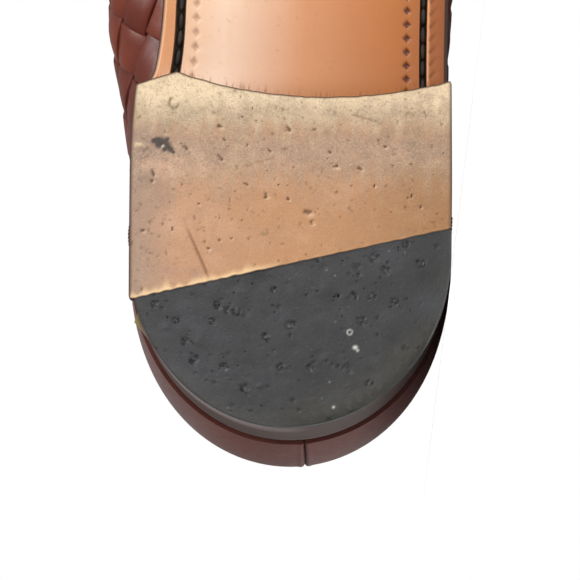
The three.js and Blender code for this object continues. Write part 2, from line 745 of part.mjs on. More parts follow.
function makeCounter() {
  const ups = [-2, 9, 19, 30, 42, 53, 62];
  const quarter = [...steps(0, 0.8, 9), 0.9, 1];
  const shares = [...quarter.slice(1).map((share) => -share).reverse(), ...quarter];
  const grid = shares.map((share) => ups.map((up) => [share * runAt(counterEdgeAt(up)), up]));
  const seam = (run) => (Math.abs(run) < 0.1 ? BACK_SEAM : 0);
  const lifted = (lift) => grid.flat().map(([run, up]) => wallPoint(run, up, lift(run)));
  const triangles = gridTriangles(shares.length, ups.length);
  const outside = lifted((run) => COVER_SEAT + COVER + seam(run));
  return solidOf(sheetGeometry(outside, lifted(() => COVER_SEAT), triangles))
    .subtract(aboveTopline(COLLAR_BAND + GAP))
    .subtract(belowSole(GAP));
}

function makeCollar() {
  const highEdge = curve(outlineRows(-1), "height");
  const quarter = [
    ...steps(0, HEEL_RUN, 6),
    ...steps(HEEL_RUN, runAt(130), 7).slice(1),
    ...[0.35, 0.6, 0.78, 0.9, 0.96, 0.99, 1].map((share) => runAt(mix(130, THROAT, share))),
    ...[0.3, 0.6, 0.8, 0.9, 0.96, 1].map((share) => runAt(mix(THROAT, collarFront, share))),
  ];
  const runs = [...quarter.slice(1).map((run) => -run).reverse(), ...quarter];
  const grid = runs.map((run) => {
    const rib = ribAt(run < 0 ? OUTER : INNER, Math.abs(run));
    const isFront = Math.abs(run) === quarter.at(-1);
    const low = isFront ? rib.girth : edgeUp(rib, collarEdge);
    const high = edgeUp(rib, highEdge);
    return steps(low, high, 4).map((up) => ({ run, up, onCrest: up > rib.girth - 0.01 }));
  });
  const place = ({ run, up, onCrest }, lift) =>
    onCrest ? netPoint(alongOf(Math.abs(run)), 0, lift) : wallPoint(run, up, lift);
  const lifted = (lift) => grid.flat().map((node) => place(node, lift));
  const triangles = gridTriangles(runs.length, grid[0].length);
  return sheetGeometry(lifted(COVER_SEAT + COVER), lifted(COVER_SEAT), triangles);
}

// Lace and tassels
const SECTION_SIDES = 8;
function laceGeometry(rows) {
  const path = new THREE.CatmullRomCurve3(rows.map(({ u, v, lift }) => netPoint(u, v, lift)));
  const angles = steps(0, 2 * Math.PI, SECTION_SIDES).slice(0, -1);
  const radius = LACE / 2;
  const corner = (angle) => new THREE.Vector2(radius * Math.cos(angle), radius * Math.sin(angle));
  const section = angles.map(corner);
  const options = { steps: 6, extrudePath: path, bevelEnabled: false };
  return new THREE.ExtrudeGeometry(new THREE.Shape(section), options);
}

function frameOn(u, v, lift, ahead) {
  const origin = netPoint(u, v, lift);
  const forward = ahead.clone().sub(origin).normalize();
  const normal = netPoint(u, v, lift + 1).sub(origin);
  const across = forward.clone().cross(normal).normalize();
  return new THREE.Matrix4().makeBasis(across, forward, across.clone().cross(forward)).setPosition(origin);
}

function makeKnot() {
  const lift = RELIEF + GAP + KNOT.thick / 2;
  const body = new THREE.SphereGeometry(0.5, 9, 6).scale(KNOT.width, KNOT.depth, KNOT.thick);
  return body.applyMatrix4(frameOn(KNOT.u, 0, lift, netPoint(KNOT.u + 5, 0, lift)));
}

// A tassel: a cap and a core turned about the +Y axis, with the strips of the skirt fused on round it.
function makeTassel(aim) {
  const { length, cap, capRadius, skirtRadius, flatness, lift, strips } = TASSEL;
  const profile = [
    [0, 0],
    [0.6 * capRadius, 0],
    [capRadius, 1.6],
    [capRadius, cap - 1],
    [0.8 * capRadius, cap],
    [0.82 * skirtRadius, length - 3],
    [0, length - 3],
  ];
  const core = new THREE.LatheGeometry(profile.map(([radius, y]) => new THREE.Vector2(radius, y)), 10);
  let solid = solidOf(cleaned(core));
  const { width, thick } = TASSEL_STRIP;
  const flare = Math.atan((skirtRadius - capRadius) / (length - cap));
  for (let i = 0; i < strips; i += 1) {
    const drop = i % 2 ? 1.6 : 0;
    const strip = new THREE.BoxGeometry(width, length - cap - drop, thick);
    strip.translate(0, (length - cap - drop) / 2, 0).rotateX(flare).translate(0, cap, 0.84 * capRadius);
    solid = solid.add(solidOf(strip.rotateY((i / strips) * 2 * Math.PI + 0.2)));
  }
  const end = netPoint(aim.to.u, aim.to.v, lift);
  return geometryOf(solid).scale(1, 1, flatness).applyMatrix4(frameOn(aim.from.u, aim.from.v, lift, end));
}

const meshes = [];
function add(name, geometry, colour, roughness) {
  const material = new THREE.MeshStandardMaterial({ color: colour, roughness, metalness: 0 });
  const mesh = new THREE.Mesh(geometry, material);
  mesh.name = name;
  meshes.push(mesh);
  return mesh;
}

const TAN = 0xd29a6a;
const HEEL_BROWN = 0x5a3424;
const CHESTNUT = 0x6e3a2c;
const RUBBER = 0x434345;

add("outsole", makeOutsole(), TAN, 0.45);
add("heel_stack", makeHeelStack(), HEEL_BROWN, 0.35);
const walkingLayer = makeWalkingLayer();
add("heel_top_lift", geometryOf(walkingLayer.subtract(behindJoint(GAP / 2))), TAN, 0.7);
add("heel_rubber_tip", geometryOf(walkingLayer.intersect(behindJoint(-GAP / 2))), RUBBER, 0.55);
add("insole", makeInsole(), TAN, 0.6);
add("upper", geometryOf(makeUpper()), CHESTNUT, 0.4);
add("heel_counter", geometryOf(makeCounter()), CHESTNUT, 0.3);
add("collar_trim", geometryOf(solidOf(makeCollar())), CHESTNUT, 0.35);

add("lace_bar_inner", laceGeometry(LACE_BAR.map((row) => ({ ...row, v: -row.v }))), CHESTNUT, 0.4);
add("lace_bar_outer", laceGeometry(LACE_BAR), CHESTNUT, 0.4);
add("lace_knot", makeKnot(), CHESTNUT, 0.4);
add("lace_end_inner", laceGeometry(LACE_ENDS.inner), CHESTNUT, 0.4);
add("lace_end_outer", laceGeometry(LACE_ENDS.outer), CHESTNUT, 0.4);
add("tassel_inner", makeTassel(TASSEL_AIM.inner), CHESTNUT, 0.4);
add("tassel_outer", makeTassel(TASSEL_AIM.outer), CHESTNUT, 0.4);

// The shoe lies on its outer side, on the face of its convex hull that carries the centre of mass.
function cornersOf(geometry) {
  const position = geometry.attributes.position;
  const order = geometry.index ? geometry.index.array : Array.from({ length: position.count }).keys();
  return Array.from(order, (i) => new THREE.Vector3().fromBufferAttribute(position, i));
}

function centreOfMass() {
  const sum = new THREE.Vector3();
  let total = 0;
  for (const mesh of meshes) {
    const corners = cornersOf(mesh.geometry);
    for (let i = 0; i < corners.length; i += 3) {
      const [a, b, c] = corners.slice(i, i + 3);
      const volume = a.dot(b.clone().cross(c)) / 6;
      total += volume;
      sum.addScaledVector(a.clone().add(b).add(c), volume / 4);
    }
  }
  return sum.divideScalar(total);
}

function restingNormal() {
  const centre = centreOfMass();
  const hull = new ConvexHull().setFromPoints(meshes.flatMap((mesh) => cornersOf(mesh.geometry)));
  const face = hull.faces.find((candidate) => {
    if (candidate.normal.x > -0.7) return false;
    const corners = [0, 1, 2].map((i) => candidate.getEdge(i).head().point);
    const under = candidate.normal.clone().multiplyScalar(-candidate.distanceToPoint(centre)).add(centre);
    return new THREE.Triangle(...corners).containsPoint(under);
  });
  return face.normal.clone();
}

const shoe = new THREE.Group();
shoe.add(...meshes);
const upward = restingNormal().negate();
const toeward = new THREE.Vector3(0, 1, 0).projectOnPlane(upward).normalize();
const laid = new THREE.Matrix4().makeBasis(toeward.clone().cross(upward), toeward, upward).transpose();
shoe.quaternion.setFromRotationMatrix(laid);
shoe.updateMatrixWorld(true);
const box = new THREE.Box3().setFromObject(shoe, true);
const middle = box.getCenter(new THREE.Vector3());
shoe.position.set(-middle.x, -middle.y, -box.min.z);

const part = new THREE.Group();
part.add(shoe);

export default part;
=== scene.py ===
# %% [markdown]
# # A woven tassel loafer, lying on its outer side
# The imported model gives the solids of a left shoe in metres. This lesson dresses them: it loads the solids,
# finds the shoe's own directions, and then makes each piece of leather, rubber and thread as the shoemaker
# would, from the sole up.

# %% The frame
import json
import math

import bpy
import numpy as np
from mathutils import Matrix


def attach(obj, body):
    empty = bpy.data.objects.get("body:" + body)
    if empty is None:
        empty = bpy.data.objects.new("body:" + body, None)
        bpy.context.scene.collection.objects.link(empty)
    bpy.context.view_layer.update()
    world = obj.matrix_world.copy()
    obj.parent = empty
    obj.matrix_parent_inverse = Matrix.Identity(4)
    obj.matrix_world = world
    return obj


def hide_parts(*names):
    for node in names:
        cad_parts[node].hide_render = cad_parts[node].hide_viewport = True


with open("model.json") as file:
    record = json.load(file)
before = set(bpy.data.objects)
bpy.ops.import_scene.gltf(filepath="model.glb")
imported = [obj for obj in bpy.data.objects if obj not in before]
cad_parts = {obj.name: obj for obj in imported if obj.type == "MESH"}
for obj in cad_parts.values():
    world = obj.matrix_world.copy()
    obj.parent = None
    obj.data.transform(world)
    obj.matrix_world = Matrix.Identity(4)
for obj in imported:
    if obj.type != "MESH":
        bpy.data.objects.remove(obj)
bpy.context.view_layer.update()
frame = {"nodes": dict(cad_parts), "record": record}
print("solids:", sorted(frame["nodes"]))

# %% [markdown]
# ## The shoe's own directions
# The shoe lies on its side, but it is easier to think of it standing. Two flat faces of the record give the
# way back: the rubber tip and the tread share the ground plane of the standing shoe, and the line between
# them points to the toe. From here on every shape is written in millimetres of the standing shoe: x to the
# inner side, y to the toe, z up.

# %% From the standing shoe to the floor
mounts = {mount["name"]: mount for mount in frame["record"]["mounts"]}
HEEL_MARK = np.array([0.0, 18.0])
TREAD_MARK = np.array([-3.0, 198.0])

heel_at, tread_at = (np.array(mounts[name]["pos_m"]) for name in ("heel_base", "forefoot_tread"))
shoe_up = -np.array(mounts["heel_base"]["axis"])
ahead = (tread_at - heel_at) / np.linalg.norm(tread_at - heel_at)
aim = TREAD_MARK - HEEL_MARK
shoe_toe = (aim[1] * ahead + aim[0] * np.cross(shoe_up, ahead)) / np.hypot(*aim)
shoe_inner = np.cross(shoe_toe, shoe_up)
shoe_origin = heel_at - shoe_toe * HEEL_MARK[1] / 1000
STANDING = np.stack([shoe_inner, shoe_toe, shoe_up])


def to_row(points):
    """Points of the standing shoe, in millimetres, as points of the row frame, in metres."""
    return shoe_origin + np.asarray(points, float) / 1000 @ STANDING


print("sole faces", -shoe_up.round(3), "toe points", shoe_toe.round(3))

# %% [markdown]
# ## Camera
# The photograph looks straight at the heel's walking face, a little from behind, with the toe at the top.
# Here the sole stands upright on its outer edge, so the camera is close to the floor and rolled a quarter
# turn. Its place could be typed in metres of the scene. It is written in the standing shoe's millimetres
# instead, so that it follows the shoe. The lens is long: the counter only just shows past the heel.

# %% Camera at the photograph's angle
EYE = np.array([-3.25, -11.9, -540.0])
AIM_AT = np.array([-0.24, 30.5, 8.0])
SEEN_WIDTH = 119.6
SENSOR_WIDTH = 36

eye, target = to_row(EYE), to_row(AIM_AT)
distance = np.linalg.norm(target - eye)
sight = (target - eye) / distance
right_hand = np.cross(sight, shoe_toe)
right_hand /= np.linalg.norm(right_hand)
above = np.cross(right_hand, sight)


def placed(directions, at):
    """Three directions and a place as one matrix."""
    rows = np.column_stack([np.stack(directions, 1), at])
    return Matrix([*rows.tolist(), [0, 0, 0, 1]])


camera_data = bpy.data.cameras.new("camera")
camera = bpy.data.objects.new("camera", camera_data)
bpy.context.scene.collection.objects.link(camera)
camera.matrix_world = placed([right_hand, above, -sight], eye)
camera_data.sensor_width = SENSOR_WIDTH
camera_data.lens = SENSOR_WIDTH * distance * 1000 / SEEN_WIDTH
camera_data.clip_start = 0.01
bpy.context.scene.camera = camera
print("camera", eye.round(3), "lens", round(camera_data.lens, 1))

# %% [markdown]
# ## Floor and light
# A white floor and a white surround, as in the photograph. The surround could light the shoe alone, but
# then no dent would cast a shadow. So a sun comes from the left of the picture, which here is above the
# shoe, and skims over the sole, and a weaker lamp in front of the sole fills the shade.

# %% Floor, surround and lamps
SKY_LIGHT, SKY_SEEN = 0.35, 1.0
KEY_FROM, KEY_STRENGTH, KEY_SOFTNESS = (0.24, 0.12, 0.95), 2.3, 25
GLOW_FROM, GLOW_TOWARDS = (0.55, 0.06, 0.2), (0.04, -0.06, 0.05)
GLOW_STRENGTH, GLOW_SIZE = 1.25, 0.15
FLOOR_HALF = 3


def facing(at, towards):
    """A place and a turn that point a lamp from one point to another."""
    back = np.array(at, float) - np.array(towards, float)
    back /= np.linalg.norm(back)
    side = np.cross([0.0, 1.0, 0.1], back)
    side /= np.linalg.norm(side)
    return placed([side, np.cross(back, side), back], at)


def add_lamp(name, kind, at, towards, strength):
    """A lamp in the scene; returns its light."""
    lamp = bpy.data.lights.new(name, kind)
    lamp.energy = strength
    holder = bpy.data.objects.new(name, lamp)
    bpy.context.scene.collection.objects.link(holder)
    holder.matrix_world = facing(at, towards)
    return lamp


bpy.context.scene.view_settings.view_transform = "Standard"
world = bpy.data.worlds.new("surround")
bpy.context.scene.world = world
world.use_nodes = True
nodes, links = world.node_tree.nodes, world.node_tree.links
sky, seen_sky = nodes["Background"], nodes.new("ShaderNodeBackground")
for background, strength in ((sky, SKY_LIGHT), (seen_sky, SKY_SEEN)):
    background.inputs["Color"].default_value = (1, 1, 1, 1)
    background.inputs["Strength"].default_value = strength
choose = nodes.new("ShaderNodeMixShader")
links.new(nodes.new("ShaderNodeLightPath").outputs["Is Camera Ray"], choose.inputs[0])
links.new(sky.outputs[0], choose.inputs[1])
links.new(seen_sky.outputs[0], choose.inputs[2])
links.new(choose.outputs[0], nodes["World Output"].inputs[0])

key = add_lamp("key", "SUN", KEY_FROM, (0, 0, 0), KEY_STRENGTH)
key.angle = math.radians(KEY_SOFTNESS)
glow = add_lamp("glow", "AREA", GLOW_FROM, GLOW_TOWARDS, GLOW_STRENGTH)
glow.size = GLOW_SIZE

floor_mesh = bpy.data.meshes.new("floor")
corners = [(x * FLOOR_HALF, y * FLOOR_HALF, 0) for x, y in ((-1, -1), (1, -1), (1, 1), (-1, 1))]
floor_mesh.from_pydata(corners, [], [(0, 1, 2, 3)])
floor = bpy.data.objects.new("floor", floor_mesh)
bpy.context.scene.collection.objects.link(floor)
print("lamps", key.name, "and", glow.name, "over a floor of", 2 * FLOOR_HALF, "m")

# %% [markdown]
# ## Small tools
# Leather could be modelled by hand, but its curves come from short tables, so meshes are made from numpy
# grids. A piece knows the solids it stands for, its finish, and numbers painted on its points, such as how
# dark a dent is, which its material reads back as an attribute.

# %% Meshes from grids
def grid_faces(rows, columns, start=0, wrap=False, flip=False):
    """Four-sided faces between the points of a grid, closed round its columns where wrap is set."""
    i, j = np.meshgrid(np.arange(rows - 1), np.arange(columns if wrap else columns - 1), indexing="ij")
    nxt = (j + 1) % columns
    quads = np.stack([i * columns + j, (i + 1) * columns + j, (i + 1) * columns + nxt, i * columns + nxt], -1)
    quads = quads.reshape(-1, 4) + start
    return quads[:, ::-1] if flip else quads


def make_piece(name, points, faces, material, replaces=(), paint=None, sharp=38):
    """A piece of the shoe on the root body. Paint holds numbers or colours for its points."""
    mesh = bpy.data.meshes.new(name)
    mesh.from_pydata(to_row(points).tolist(), [], [tuple(int(i) for i in face) for face in faces])
    for key, values in (paint or {}).items():
        values = np.asarray(values, np.float32)
        if values.ndim == 1:
            mesh.attributes.new(key, "FLOAT", "POINT").data.foreach_set("value", values)
        else:
            full = np.concatenate([values, np.ones((len(values), 1), np.float32)], 1)
            mesh.attributes.new(key, "FLOAT_COLOR", "POINT").data.foreach_set("color", full.ravel())
    mesh.validate()
    mesh.shade_smooth()
    mesh.set_sharp_from_angle(angle=math.radians(sharp))
    piece = bpy.data.objects.new(name, mesh)
    bpy.context.scene.collection.objects.link(piece)
    mesh.materials.append(material)
    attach(piece, "root")
    if replaces:
        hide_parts(*replaces)
    print(name, len(mesh.polygons), "faces")
    return piece


def smooth(t):
    """A soft step from 0 to 1."""
    t = np.clip(t, 0, 1)
    return t * t * (3 - 2 * t)


def linear(red, green, blue):
    """A colour as seen on a screen, 0 to 255, as the light it stands for."""
    c = np.array([red, green, blue]) / 255
    return np.where(c < 0.04045, c / 12.92, ((c + 0.055) / 1.055) ** 2.4)


# %% Materials from nodes
def start_finish(name):
    """A new material, its nodes and its shader."""
    material = bpy.data.materials.new(name)
    material.use_nodes = True
    tree = material.node_tree
    return material, tree, tree.nodes["Principled BSDF"]


def wire(tree, kind, out=0, settings=None, **inputs):
    """A node with its settings and inputs; an input that is a socket is linked. Returns one output socket."""
    node = tree.nodes.new(kind)
    for key, value in (settings or {}).items():
        setattr(node, key, value)
    for key, value in inputs.items():
        if key[0] == "i" and key[1:].isdigit():
            socket = node.inputs[int(key[1:])]
        else:
            socket = node.inputs[key.replace("_", " ")]
        if isinstance(value, bpy.types.NodeSocket):
            tree.links.new(value, socket)
        else:
            socket.default_value = value
    return node.outputs[out]


def place_of(tree):
    return wire(tree, "ShaderNodeTexCoord", out="Object")


def noise(tree, scale, detail=3.0, rough=0.55, vector=None):
    place = vector or place_of(tree)
    return wire(tree, "ShaderNodeTexNoise", Vector=place, Scale=scale, Detail=detail, Roughness=rough)


def spread(tree, value, low, high, to_low=0.0, to_high=1.0):
    return wire(tree, "ShaderNodeMapRange", i0=value, i1=low, i2=high, i3=to_low, i4=to_high)


def times(tree, a, b, operation="MULTIPLY"):
    return wire(tree, "ShaderNodeMath", settings={"operation": operation}, i0=a, i1=b)


def blend(tree, share, a, b):
    """Colour a with a share of colour b laid over it."""
    a, b = (c if isinstance(c, bpy.types.NodeSocket) else (*c, 1.0) for c in (a, b))
    return wire(tree, "ShaderNodeMix", out=2, settings={"data_type": "RGBA"}, i0=share, i6=a, i7=b)


def painted(tree, name, out="Fac"):
    """Numbers or colours that a piece carries on its points."""
    return wire(tree, "ShaderNodeAttribute", out=out, settings={"attribute_name": name})


def bump(tree, height, distance, strength=1.0, normal=None):
    extra = {"Normal": normal} if normal else {}
    return wire(tree, "ShaderNodeBump", Height=height, Distance=distance, Strength=strength, **extra)


def set_socket(tree, shader, **inputs):
    for key, value in inputs.items():
        socket = shader.inputs[key.replace("_", " ")]
        if isinstance(value, bpy.types.NodeSocket):
            tree.links.new(value, socket)
        else:
            socket.default_value = value


floor_finish, tree, shader = start_finish("white_floor")
set_socket(tree, shader, Base_Color=(0.93, 0.93, 0.93, 1), Roughness=0.9, Specular_IOR_Level=0.0)
floor_mesh.materials.append(floor_finish)
print("finish", floor_finish.name)

# %% [markdown]
# ## The last
# A shoe takes its shape from the last, a foot-shaped block. Its surface is a row of ribs: each starts at
# the edge of the sole, swells out to its widest line and closes over the instep. The last could be
# sculpted, but a sculpted form drifts away from the solids. A few short tables hold the sizes, the same as
# those of the solids, so that leather lies exactly where the solids are.

# %% Sizes of the last
SOLE_LENGTH = 298.0
HEEL_CENTRE = 37.0  # middle of the round back end, from the back
TOE_CENTRE = 208.0  # where the round toe starts
TOE_SWING = 5.0  # towards the inner side
SOLE_THICKNESS = 5.0
GAP = 0.3  # room between layers
INNER, OUTER = 1, -1
TOE_BLUNTNESS = {INNER: 2.4, OUTER: 1.9}
PLAN = np.array([
    # along, inner, outer, margin past the upper
    [37, 33.0, 33.6, 1.0],
    [55, 32.9, 33.8, 1.0],
    [73, 31.6, 33.8, 1.2],
    [79, 28.7, 33.8, 1.25],
    [95, 26.7, 34.0, 1.4],
    [122, 25.5, 36.8, 1.8],
    [150, 31.5, 43.0, 2.6],
    [178, 41.5, 50.5, 3.6],
    [197, 47.0, 54.0, 4.0],
    [208, 48.6, 54.6, 4.2],
])
PROFILE = np.array([
    # along, height of the sole's underside
    [-10, 24.8], [0, 24.5], [78, 22.0], [98, 18.2], [125, 10.2], [155, 2.6], [180, 0], [216, 0],
    [250, 2.2], [275, 5.8], [298, 10.5], [310, 13.5],
])
SECTIONS = np.array([
    # along, crest, swell inner, swell outer, height of the widest line, shoulders
    [37, 119.5, 1.2, 0.6, 25, 2.6],
    [52, 117, 2.2, 0.8, 24, 2.55],
    [73, 113.3, 6.0, 1.4, 21, 2.45],
    [79, 112, 9.9, 1.6, 20.5, 2.4],
    [95, 106, 14.2, 2.4, 20, 2.3],
    [122, 96, 15.2, 4.2, 20, 2.15],
    [150, 84.5, 11.5, 5.2, 21, 2.05],
    [178, 68, 6.6, 4.6, 20, 2.05],
    [208, 54.5, 3.2, 3.0, 18, 2.1],
])
BACK = {"crest": 120, "swell": 4.4, "widest": 24, "shoulders": 2.2}
TOE = {"swell": 1.8, "widest": 9, "shoulders": 1.7, "slope": -0.42}
TOPLINE = np.array([
    # along, height of the opening's edge
    [-12, 90], [0, 88.5], [22, 84.5], [46, 78], [75, 73.2], [100, 72.6], [122, 75], [138, 79.6],
    [148, 84.5], [153, 90], [158, 100],
])
COUNTER_EDGE = np.array([
    # height above the sole, front edge of the counter
    [-10, 52], [0, 50], [24, 44.5], [50, 36], [75, 30],
])
print("sole", SOLE_LENGTH, "mm long, on", len(SECTIONS), "sections")


# %% Smooth curves through the tables
def curve(x, y):
    """A smooth function through a table that keeps between neighbouring values."""
    x, y = np.asarray(x, float), np.asarray(y, float)
    steep = np.diff(y) / np.diff(x)
    tangent = np.empty_like(y)
    tangent[0], tangent[-1] = steep[0], steep[-1]
    for i in range(1, len(x) - 1):
        before, after = steep[i - 1], steep[i]
        near, far = x[i] - x[i - 1], x[i + 1] - x[i]
        w = (2 * far + near, far + 2 * near)
        tangent[i] = 0 if before * after <= 0 else sum(w) / (w[0] / before + w[1] / after)

    def at(value):
        v = np.clip(value, x[0], x[-1])
        i = np.clip(np.searchsorted(x, v, "right") - 1, 0, len(x) - 2)
        step = x[i + 1] - x[i]
        t = (v - x[i]) / step
        rise = t * t * (3 - 2 * t)
        leave = tangent[i] * t * (1 - t) ** 2 * step
        arrive = tangent[i + 1] * t * t * (t - 1) * step
        return y[i] + (y[i + 1] - y[i]) * rise + leave + arrive

    return at


reach_of = {INNER: curve(PLAN[:, 0], PLAN[:, 1]), OUTER: curve(PLAN[:, 0], PLAN[:, 2])}
margin_at = curve(PLAN[:, 0], PLAN[:, 3])
sole_under = curve(PROFILE[:, 0], PROFILE[:, 1])
sole_top = lambda along: sole_under(along) + SOLE_THICKNESS
crest_at = curve(SECTIONS[:, 0], SECTIONS[:, 1])
swell_of = {INNER: curve(SECTIONS[:, 0], SECTIONS[:, 2]), OUTER: curve(SECTIONS[:, 0], SECTIONS[:, 3])}
widest_at = curve(SECTIONS[:, 0], SECTIONS[:, 4])
shoulders_at = curve(SECTIONS[:, 0], SECTIONS[:, 5])
topline_at = curve(TOPLINE[:, 0], TOPLINE[:, 1])
counter_edge_at = curve(COUNTER_EDGE[:, 0], COUNTER_EDGE[:, 1])

QUARTER = math.pi / 2
HEEL_RUN = HEEL_CENTRE * QUARTER
TOE_START = HEEL_RUN + TOE_CENTRE - HEEL_CENTRE
TOE_RUN = 110.0
FULL_RUN = TOE_START + TOE_RUN
run_at = lambda along: HEEL_RUN + along - HEEL_CENTRE
along_of = lambda run: HEEL_CENTRE + run - HEEL_RUN
print("half way round the sole", round(FULL_RUN, 1), "mm")


# %% Ribs of the last
def mix(a, b, share):
    return a + (b - a) * share


def station(side, run):
    """One place on the way round: origin, direction, reach of the sole's edge, and sizes of the rib."""
    if run < HEEL_RUN:
        s, c = math.sin(run / HEEL_CENTRE), math.cos(run / HEEL_CENTRE)
        edge = 1 / math.hypot(s / reach_of[side](HEEL_CENTRE), c / HEEL_CENTRE)
        row = SECTIONS[0]
        swell = mix(row[2] if side == INNER else row[3], BACK["swell"], c * c)
        widest, shoulders = mix(row[4], BACK["widest"], c * c), mix(row[5], BACK["shoulders"], c * c)
        return (0, HEEL_CENTRE), (side * s, -c), edge, PLAN[0, 3], BACK["crest"], swell, widest, shoulders, 0
    if run < TOE_START:
        along = along_of(run)
        spine = TOE_SWING * max(0, along - HEEL_CENTRE) / (TOE_CENTRE - HEEL_CENTRE)
        edge = reach_of[side](along) - side * spine
        swell, widest, shoulders = swell_of[side](along), widest_at(along), shoulders_at(along)
        return (spine, along), (side, 0), edge, margin_at(along), crest_at(along), swell, widest, shoulders, 0
    turn = min((run - TOE_START) / TOE_RUN, 1) * QUARTER
    c, s = math.cos(turn), math.sin(turn)
    power = TOE_BLUNTNESS[side]
    half = reach_of[side](TOE_CENTRE) - side * TOE_SWING
    edge = ((c / half) ** power + (s / (SOLE_LENGTH - TOE_CENTRE)) ** power) ** (-1 / power)
    row = SECTIONS[-1]
    swell = mix(row[2] if side == INNER else row[3], TOE["swell"], s * s)
    widest, shoulders = mix(row[4], TOE["widest"], s * s), mix(row[5], TOE["shoulders"], s * s)
    margin, crest, slope = PLAN[-1, 3], row[1], TOE["slope"] * s
    return (TOE_SWING, TOE_CENTRE), (side * c, s), edge, margin, crest, swell, widest, shoulders, slope


LOW_COUNT = 9
LOW = np.linspace(0, 1, LOW_COUNT)
HIGH = np.linspace(0, QUARTER, 27)[1:]


class Rib:
    """One section of the upper, from its foot on the sole to the crest."""

    def __init__(self, side, run):
        self.origin, self.way, edge, margin, crest, swell, widest, shoulders, slope = station(side, run)
        foot = edge - margin
        foot_height = sole_top(self.origin[1] + self.way[1] * foot) + GAP
        wide, wide_height = foot + swell, foot_height + widest
        high_reach = wide * np.maximum(np.cos(HIGH), 0) ** (2 / shoulders)
        high_reach[-1] = 0
        dome = (crest - wide_height) * np.sin(HIGH) ** (2 / shoulders)
        high = wide_height + dome + slope * high_reach * (1 - high_reach / wide)
        self.reach = np.concatenate([foot + swell * (1 - (1 - LOW) ** 2), high_reach])
        self.height = np.concatenate([foot_height + widest * LOW, high])
        self.length = np.concatenate([[0], np.cumsum(np.hypot(np.diff(self.reach), np.diff(self.height)))])
        self.girth = self.length[-1]

    def at(self, up):
        """Point of the rib at a height along it, from its foot."""
        i = np.clip(np.searchsorted(self.length, up, "right") - 1, 0, len(self.length) - 2)
        t = (up - self.length[i]) / (self.length[i + 1] - self.length[i])
        reach = mix(self.reach[i], self.reach[i + 1], t)
        x, y = self.origin[0] + self.way[0] * reach, self.origin[1] + self.way[1] * reach
        return np.stack([x, y, mix(self.height[i], self.height[i + 1], t)], -1)

    def edge_up(self, height_at):
        """Height above the foot where the rib meets an edge drawn in side view, or its whole length."""
        over = self.height - height_at(self.origin[1] + self.way[1] * self.reach)
        hits = np.nonzero(over[LOW_COUNT:] > 0)[0]
        if not len(hits):
            return self.girth
        i = hits[0] + LOW_COUNT
        return mix(self.length[i - 1], self.length[i], over[i - 1] / (over[i - 1] - over[i]))


def rib_at(signed_run):
    return Rib(OUTER if signed_run < 0 else INNER, abs(signed_run))


def topline_moved(moved):
    """The topline in side view, moved square to itself: positive moves it down and forward."""
    along = np.linspace(TOPLINE[0, 0], TOPLINE[-1, 0], 27)
    tilt = topline_at(along + 0.5) - topline_at(along - 0.5)
    size = np.hypot(1, tilt)
    x, y = along + moved * tilt / size, topline_at(along) - moved / size
    keep = np.concatenate([[True], np.diff(x) > 0])
    return curve(x[keep], y[keep])


rib = rib_at(run_at(95))
print("instep girth at the waist", round(rib.girth, 1), "mm, toe", rib_at(FULL_RUN).at(0.0).round(1))

# %% [markdown]
# ## Outsole
# A leather sole is cut from one bend of hide. Its edge is inked, a groove is cut round it for the waxed
# thread, and a wheel has pricked a row of small lozenges inside the groove. Both could be a bump in the
# material, but light skims over them, so rings of points follow the edge inwards, close enough together to
# carve groove and lozenges as real dents.

# %% The sole's edge as one loop
def edge_loop(count, samples=1500):
    """Points at even steps round the sole: from the back along the inner side to the toe, then back again."""
    half = []
    forwards = np.linspace(0, FULL_RUN, samples)
    backwards = np.linspace(FULL_RUN, 0, samples)
    for side, runs in ((INNER, forwards), (OUTER, backwards)):
        line = []
        for run in runs:
            origin, way, edge, *_ = station(side, run)
            line.append((origin[0] + way[0] * edge, origin[1] + way[1] * edge))
        line = np.array(line)
        length = np.concatenate([[0], np.cumsum(np.hypot(*np.diff(line, axis=0).T))])
        at = np.linspace(0, length[-1], count + 1)[:-1]
        half.append(np.stack([np.interp(at, length, line[:, k]) for k in (0, 1)], 1))
    return np.concatenate(half)


HALF_LOOP = 900
loop = edge_loop(HALF_LOOP)
tangent = np.roll(loop, -4, 0) - np.roll(loop, 4, 0)
tangent /= np.hypot(*tangent.T)[:, None]
inward = np.stack([-tangent[:, 1], tangent[:, 0]], 1)
loop_length = np.concatenate([[0], np.cumsum(np.hypot(*np.diff(loop, axis=0).T))])
print("sole edge", round(loop_length[-1]), "mm round")

# %% Front edge of the heel
BREAST_INNER, BREAST_OUTER, BREAST_HOLLOW = 74.8, 72.8, 4.2
NIP_FROM, NIP_TO, NIP_DEPTH = 24.6, 31.2, 2.1
BREAST_END = -33.4


def breast_at(x):
    """Front edge of the heel at a place across it: a shallow arc, nipped at the inner corner."""
    t = (x - NIP_FROM) / (BREAST_END - NIP_FROM)
    hollow = BREAST_INNER + (BREAST_OUTER - BREAST_INNER) * t - BREAST_HOLLOW * 4 * t * (1 - t)
    nip = BREAST_INNER - NIP_DEPTH * (x - NIP_FROM) / (NIP_TO - NIP_FROM)
    return np.where(x > NIP_FROM, nip, hollow)


print("heel front, at the middle", float(breast_at(0.0).round(1)), "mm from the back")


